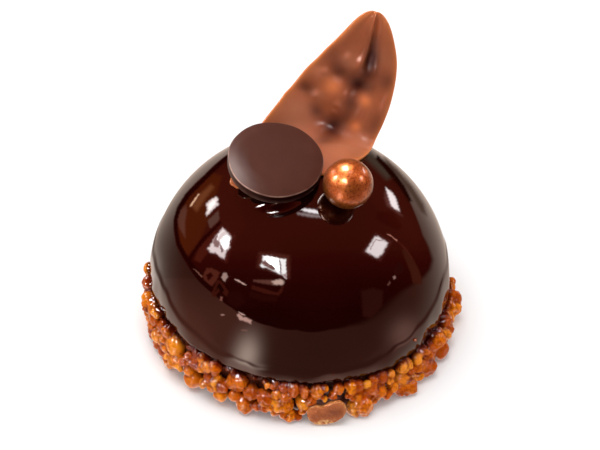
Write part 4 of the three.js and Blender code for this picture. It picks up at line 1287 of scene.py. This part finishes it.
# The room as the glaze mirrors it. HORIZON is where the table ends and the dark room begins,
# in pixels of the photograph, all the way round the dome's middle.
DOME_PX = (299.4, 278.4, 150.0)  # middle and radius of the dome's outline
HORIZON = [
    (225.6, 155.7), (203.6, 175.8), (186.4, 193), (177.5, 207.4), (173.5, 221.8), (173.6, 232),
    (176.4, 246), (183.6, 259.6), (193.8, 274.6), (206.5, 288.7), (216.7, 296.6), (232, 308),
    (251.2, 319.3), (270.3, 325.9), (296, 329.2), (330, 329.5), (350, 326), (362, 323.5), (375, 316),
    (392, 301), (403, 291), (415, 283), (425, 276), (430.6, 269), (432.8, 260), (428.9, 247.1),
    (422.8, 235.1), (417.5, 220), (413, 209), (404, 191), (394, 176), (379, 161.5), (340, 146),
    (300, 141), (260, 145),
]
# How red the dark room is at a height of the picture: the row of pixels and the level there.
ROOM_LEVELS = [(160, 0.62), (225, 0.68), (249, 0.58), (252, 0.50), (261, 0.40), (273, 0.27),
               (285, 0.18), (297, 0.13), (309, 0.06), (330, 0.03)]
ROOM_GREENS = [(0.1, 0.0), (0.4, 0.025), (0.7, 0.09)]  # level, and how green the room is there
TABLE_INNER, TABLE_OUTER = (0.62, 0.215, 0.14), (0.95, 0.74, 0.62)
# Darker and lighter parts of the table: direction and width in degrees, and by what share.
TABLE_SHADES = [(82, 42, -0.25), (16, 34, -0.3), (152, 24, 0.6), (194, 20, -0.4)]
# Gleams on the table: middle and size in pixels, turn in degrees, colour.
TABLE_GLEAMS = [
    ((247, 355), (12, 20), 10, (6.2, 4.8, 4.0)), ((402, 332), (16, 13), -50, (1.1, 0.62, 0.5)),
    ((155, 276), (7, 20), 0, (0.9, 0.8, 0.75)),
]
BELOW_FOOT = (0.75, 0.46, 0.37)  # light added where the front foot mirrors the table
TABLE_BANDS = (101, 110), (114, 150)  # pixels from the middle: that light, and inner to outer
STEEP = (-0.66, -0.80)  # mirrored rays this steep see the table next to the cake
STEEP_GAIN, STEEP_TINT = 0.55, (0.0, 0.07, 0.07)
MIDDLE_SHARE = 0.041  # share mirrored near the dome's middle, for which the levels are given
DIMMING = 1.1  # how strongly the room darkens outwards, where the glaze mirrors more; 1 evens out
HORIZON_SOFT, HORIZON_HAZE = 0.8, 7  # softness in pixels, and how much more there is on the right


def blend(weight, a, b):
    return a + weight[..., None] * (np.asarray(b, float) - a)


def read_off(table, x):
    return np.interp(x, [place for place, _ in table], [value for _, value in table])


def spot(x, y, at, size, turn):
    """Soft spot, 1 in the middle."""
    c, s = math.cos(math.radians(turn)), math.sin(math.radians(turn))
    dx, dy = x - at[0], y - at[1]
    return np.exp(-(((dx * c + dy * s) / size[0]) ** 2 + ((dy * c - dx * s) / size[1]) ** 2))


def mirrored_share(x, y):
    """Share of the light that the glaze mirrors at a pixel: Schlick's formula for an IOR of 1.5."""
    cx, cy, radius = DOME_PX
    tilt = np.minimum(((x - cx) ** 2 + (y - cy) ** 2) / radius**2, 1.0)
    return (0.04 + 0.96 * (1 - np.sqrt(1 - tilt)) ** 5)[..., None]


def radiance(colour, x, y):
    """Light that the glaze shows as this colour of a screen at a pixel of the dome."""
    wanted = (np.array(colour) / 255) ** SCREEN_GAMMA - GLAZE_BODY
    return np.maximum(wanted, 0) / mirrored_share(x, y)


def inside(x, y, corners, feather):
    """1 inside an outline and 0 outside it, with a feathered edge."""
    nearest = np.full(x.shape, np.inf)
    within = np.zeros(x.shape, bool)
    for (ax, ay), (bx, by) in zip(corners, corners[1:] + corners[:1]):
        along = ((x - ax) * (bx - ax) + (y - ay) * (by - ay)) / ((bx - ax) ** 2 + (by - ay) ** 2)
        along = np.clip(along, 0, 1)
        gap = np.hypot(x - ax - along * (bx - ax), y - ay - along * (by - ay))
        nearest = np.minimum(nearest, gap)
        crosses = (ay > y) != (by > y)
        within ^= crosses & (x < ax + (y - ay) * (bx - ax) / ((by - ay) or 1.0))
    return smoothstep(-feather, feather, np.where(within, nearest, -nearest))


def room_light(x, y, down):
    """Colour of the room mirrored at a pixel of the dome; down is the mirrored ray's z."""
    cx, cy, radius = DOME_PX
    angle = np.arctan2(y - cy, x - cx)
    away = np.hypot(x - cx, y - cy)
    edge = np.array(HORIZON) - (cx, cy)
    horizon = np.interp(angle, np.arctan2(edge[:, 1], edge[:, 0]), np.hypot(*edge.T),
                        period=2 * math.pi)
    level = read_off(ROOM_LEVELS, y)
    green = read_off(ROOM_GREENS, level)
    dimming = (MIDDLE_SHARE / mirrored_share(x, y)) ** DIMMING
    room = np.stack([level, green, green * 0.45], -1) * dimming
    foot_band, table_band = TABLE_BANDS
    table = blend(smoothstep(*table_band, away), np.array(TABLE_INNER), TABLE_OUTER)
    shade = 1 + sum(share * bell_at(angle % (2 * math.pi) if degrees > 180 else angle, degrees,
                                    width) for degrees, width, share in TABLE_SHADES)
    below_foot = smoothstep(*foot_band, away) * bell_at(angle, 94, 36)
    table = table * shade[..., None] + below_foot[..., None] * np.array(BELOW_FOOT)
    steep = smoothstep(*STEEP, down)[..., None]
    table = table * (1 + STEEP_GAIN * steep) + np.array(STEEP_TINT) * steep
    for at, size, turn, colour in TABLE_GLEAMS:
        table += spot(x, y, at, size, turn)[..., None] * np.array(colour)
    soft = HORIZON_SOFT + HORIZON_HAZE * bell_at(angle, 20, 25)
    light = blend(smoothstep(-1, 1, (away - horizon) / soft), room, table)
    wavy_x = x + RIPPLE * np.sin(1.7 * y + 0.6 * x)
    wavy_y = y + RIPPLE * np.sin(1.5 * x - 0.8 * y)
    for _, colour, feather, corners in MIRRORED:
        low, high = np.min(corners, 0) - feather, np.max(corners, 0) + feather
        near = ((wavy_x > low[0]) & (wavy_x < high[0]) & (wavy_y > low[1]) & (wavy_y < high[1]))
        share = inside(wavy_x[near], wavy_y[near], corners, feather)
        light[near] = blend(share, light[near], radiance(colour, x[near], y[near]))
    return light


def glowing_material(name):
    """Material that glows with the colour in the mesh's light attribute."""
    n = Nodes(name)
    n.tree.nodes.remove(n.shader)
    glow = n.add("ShaderNodeEmission", {"Color": n.layer("light")})
    n.put(n.output.inputs["Surface"], glow.outputs[0])
    return n.material


def make_room():
    """Backdrop that only mirrors show: the room painted on a shell far round the cake."""
    cx, cy, radius = DOME_PX
    angle = even_angles(ROOM_STEPS)
    away = radius * ROOM_EDGE * (np.arange(ROOM_RINGS)[:, None] + 0.5) / ROOM_RINGS
    x = (cx + away * np.cos(angle)).ravel()
    y = (cy + away * np.sin(angle)).ravel()
    hits, directions = mirror_directions(x, y)
    faces = [(r + i, r + (i + 1) % ROOM_STEPS, r + ROOM_STEPS + (i + 1) % ROOM_STEPS,
              r + ROOM_STEPS + i)
             for r in range(0, (ROOM_RINGS - 1) * ROOM_STEPS, ROOM_STEPS)
             for i in range(ROOM_STEPS)]
    faces.append(tuple(range(ROOM_STEPS)))
    room = mesh_object("mirrored_room", hits + directions * ROOM_DISTANCE, faces,
                       glowing_material("mirrored_room"),
                       {"light": colour_layer(*room_light(x, y, directions[:, 2]).T)})
    room.visible_camera = False
    room.visible_diffuse = False
    room.visible_shadow = False
    room.visible_transmission = False


def make_light():
    data = bpy.data.lights.new("key", "AREA")
    data.shape = "DISK"
    data.size = LIGHT_SIZE * MM
    data.energy = LIGHT_WATTS
    light = new_object("key", data)
    light.location = LIGHT_AT * MM
    light.rotation_euler = (LIGHT_TO - LIGHT_AT).to_track_quat("-Z", "Y").to_euler()
    light.visible_glossy = False


make_floor()
make_world()
make_room()
make_light()

scene = bpy.context.scene
scene.view_settings.view_transform = "Standard"
scene.view_settings.look = "None"
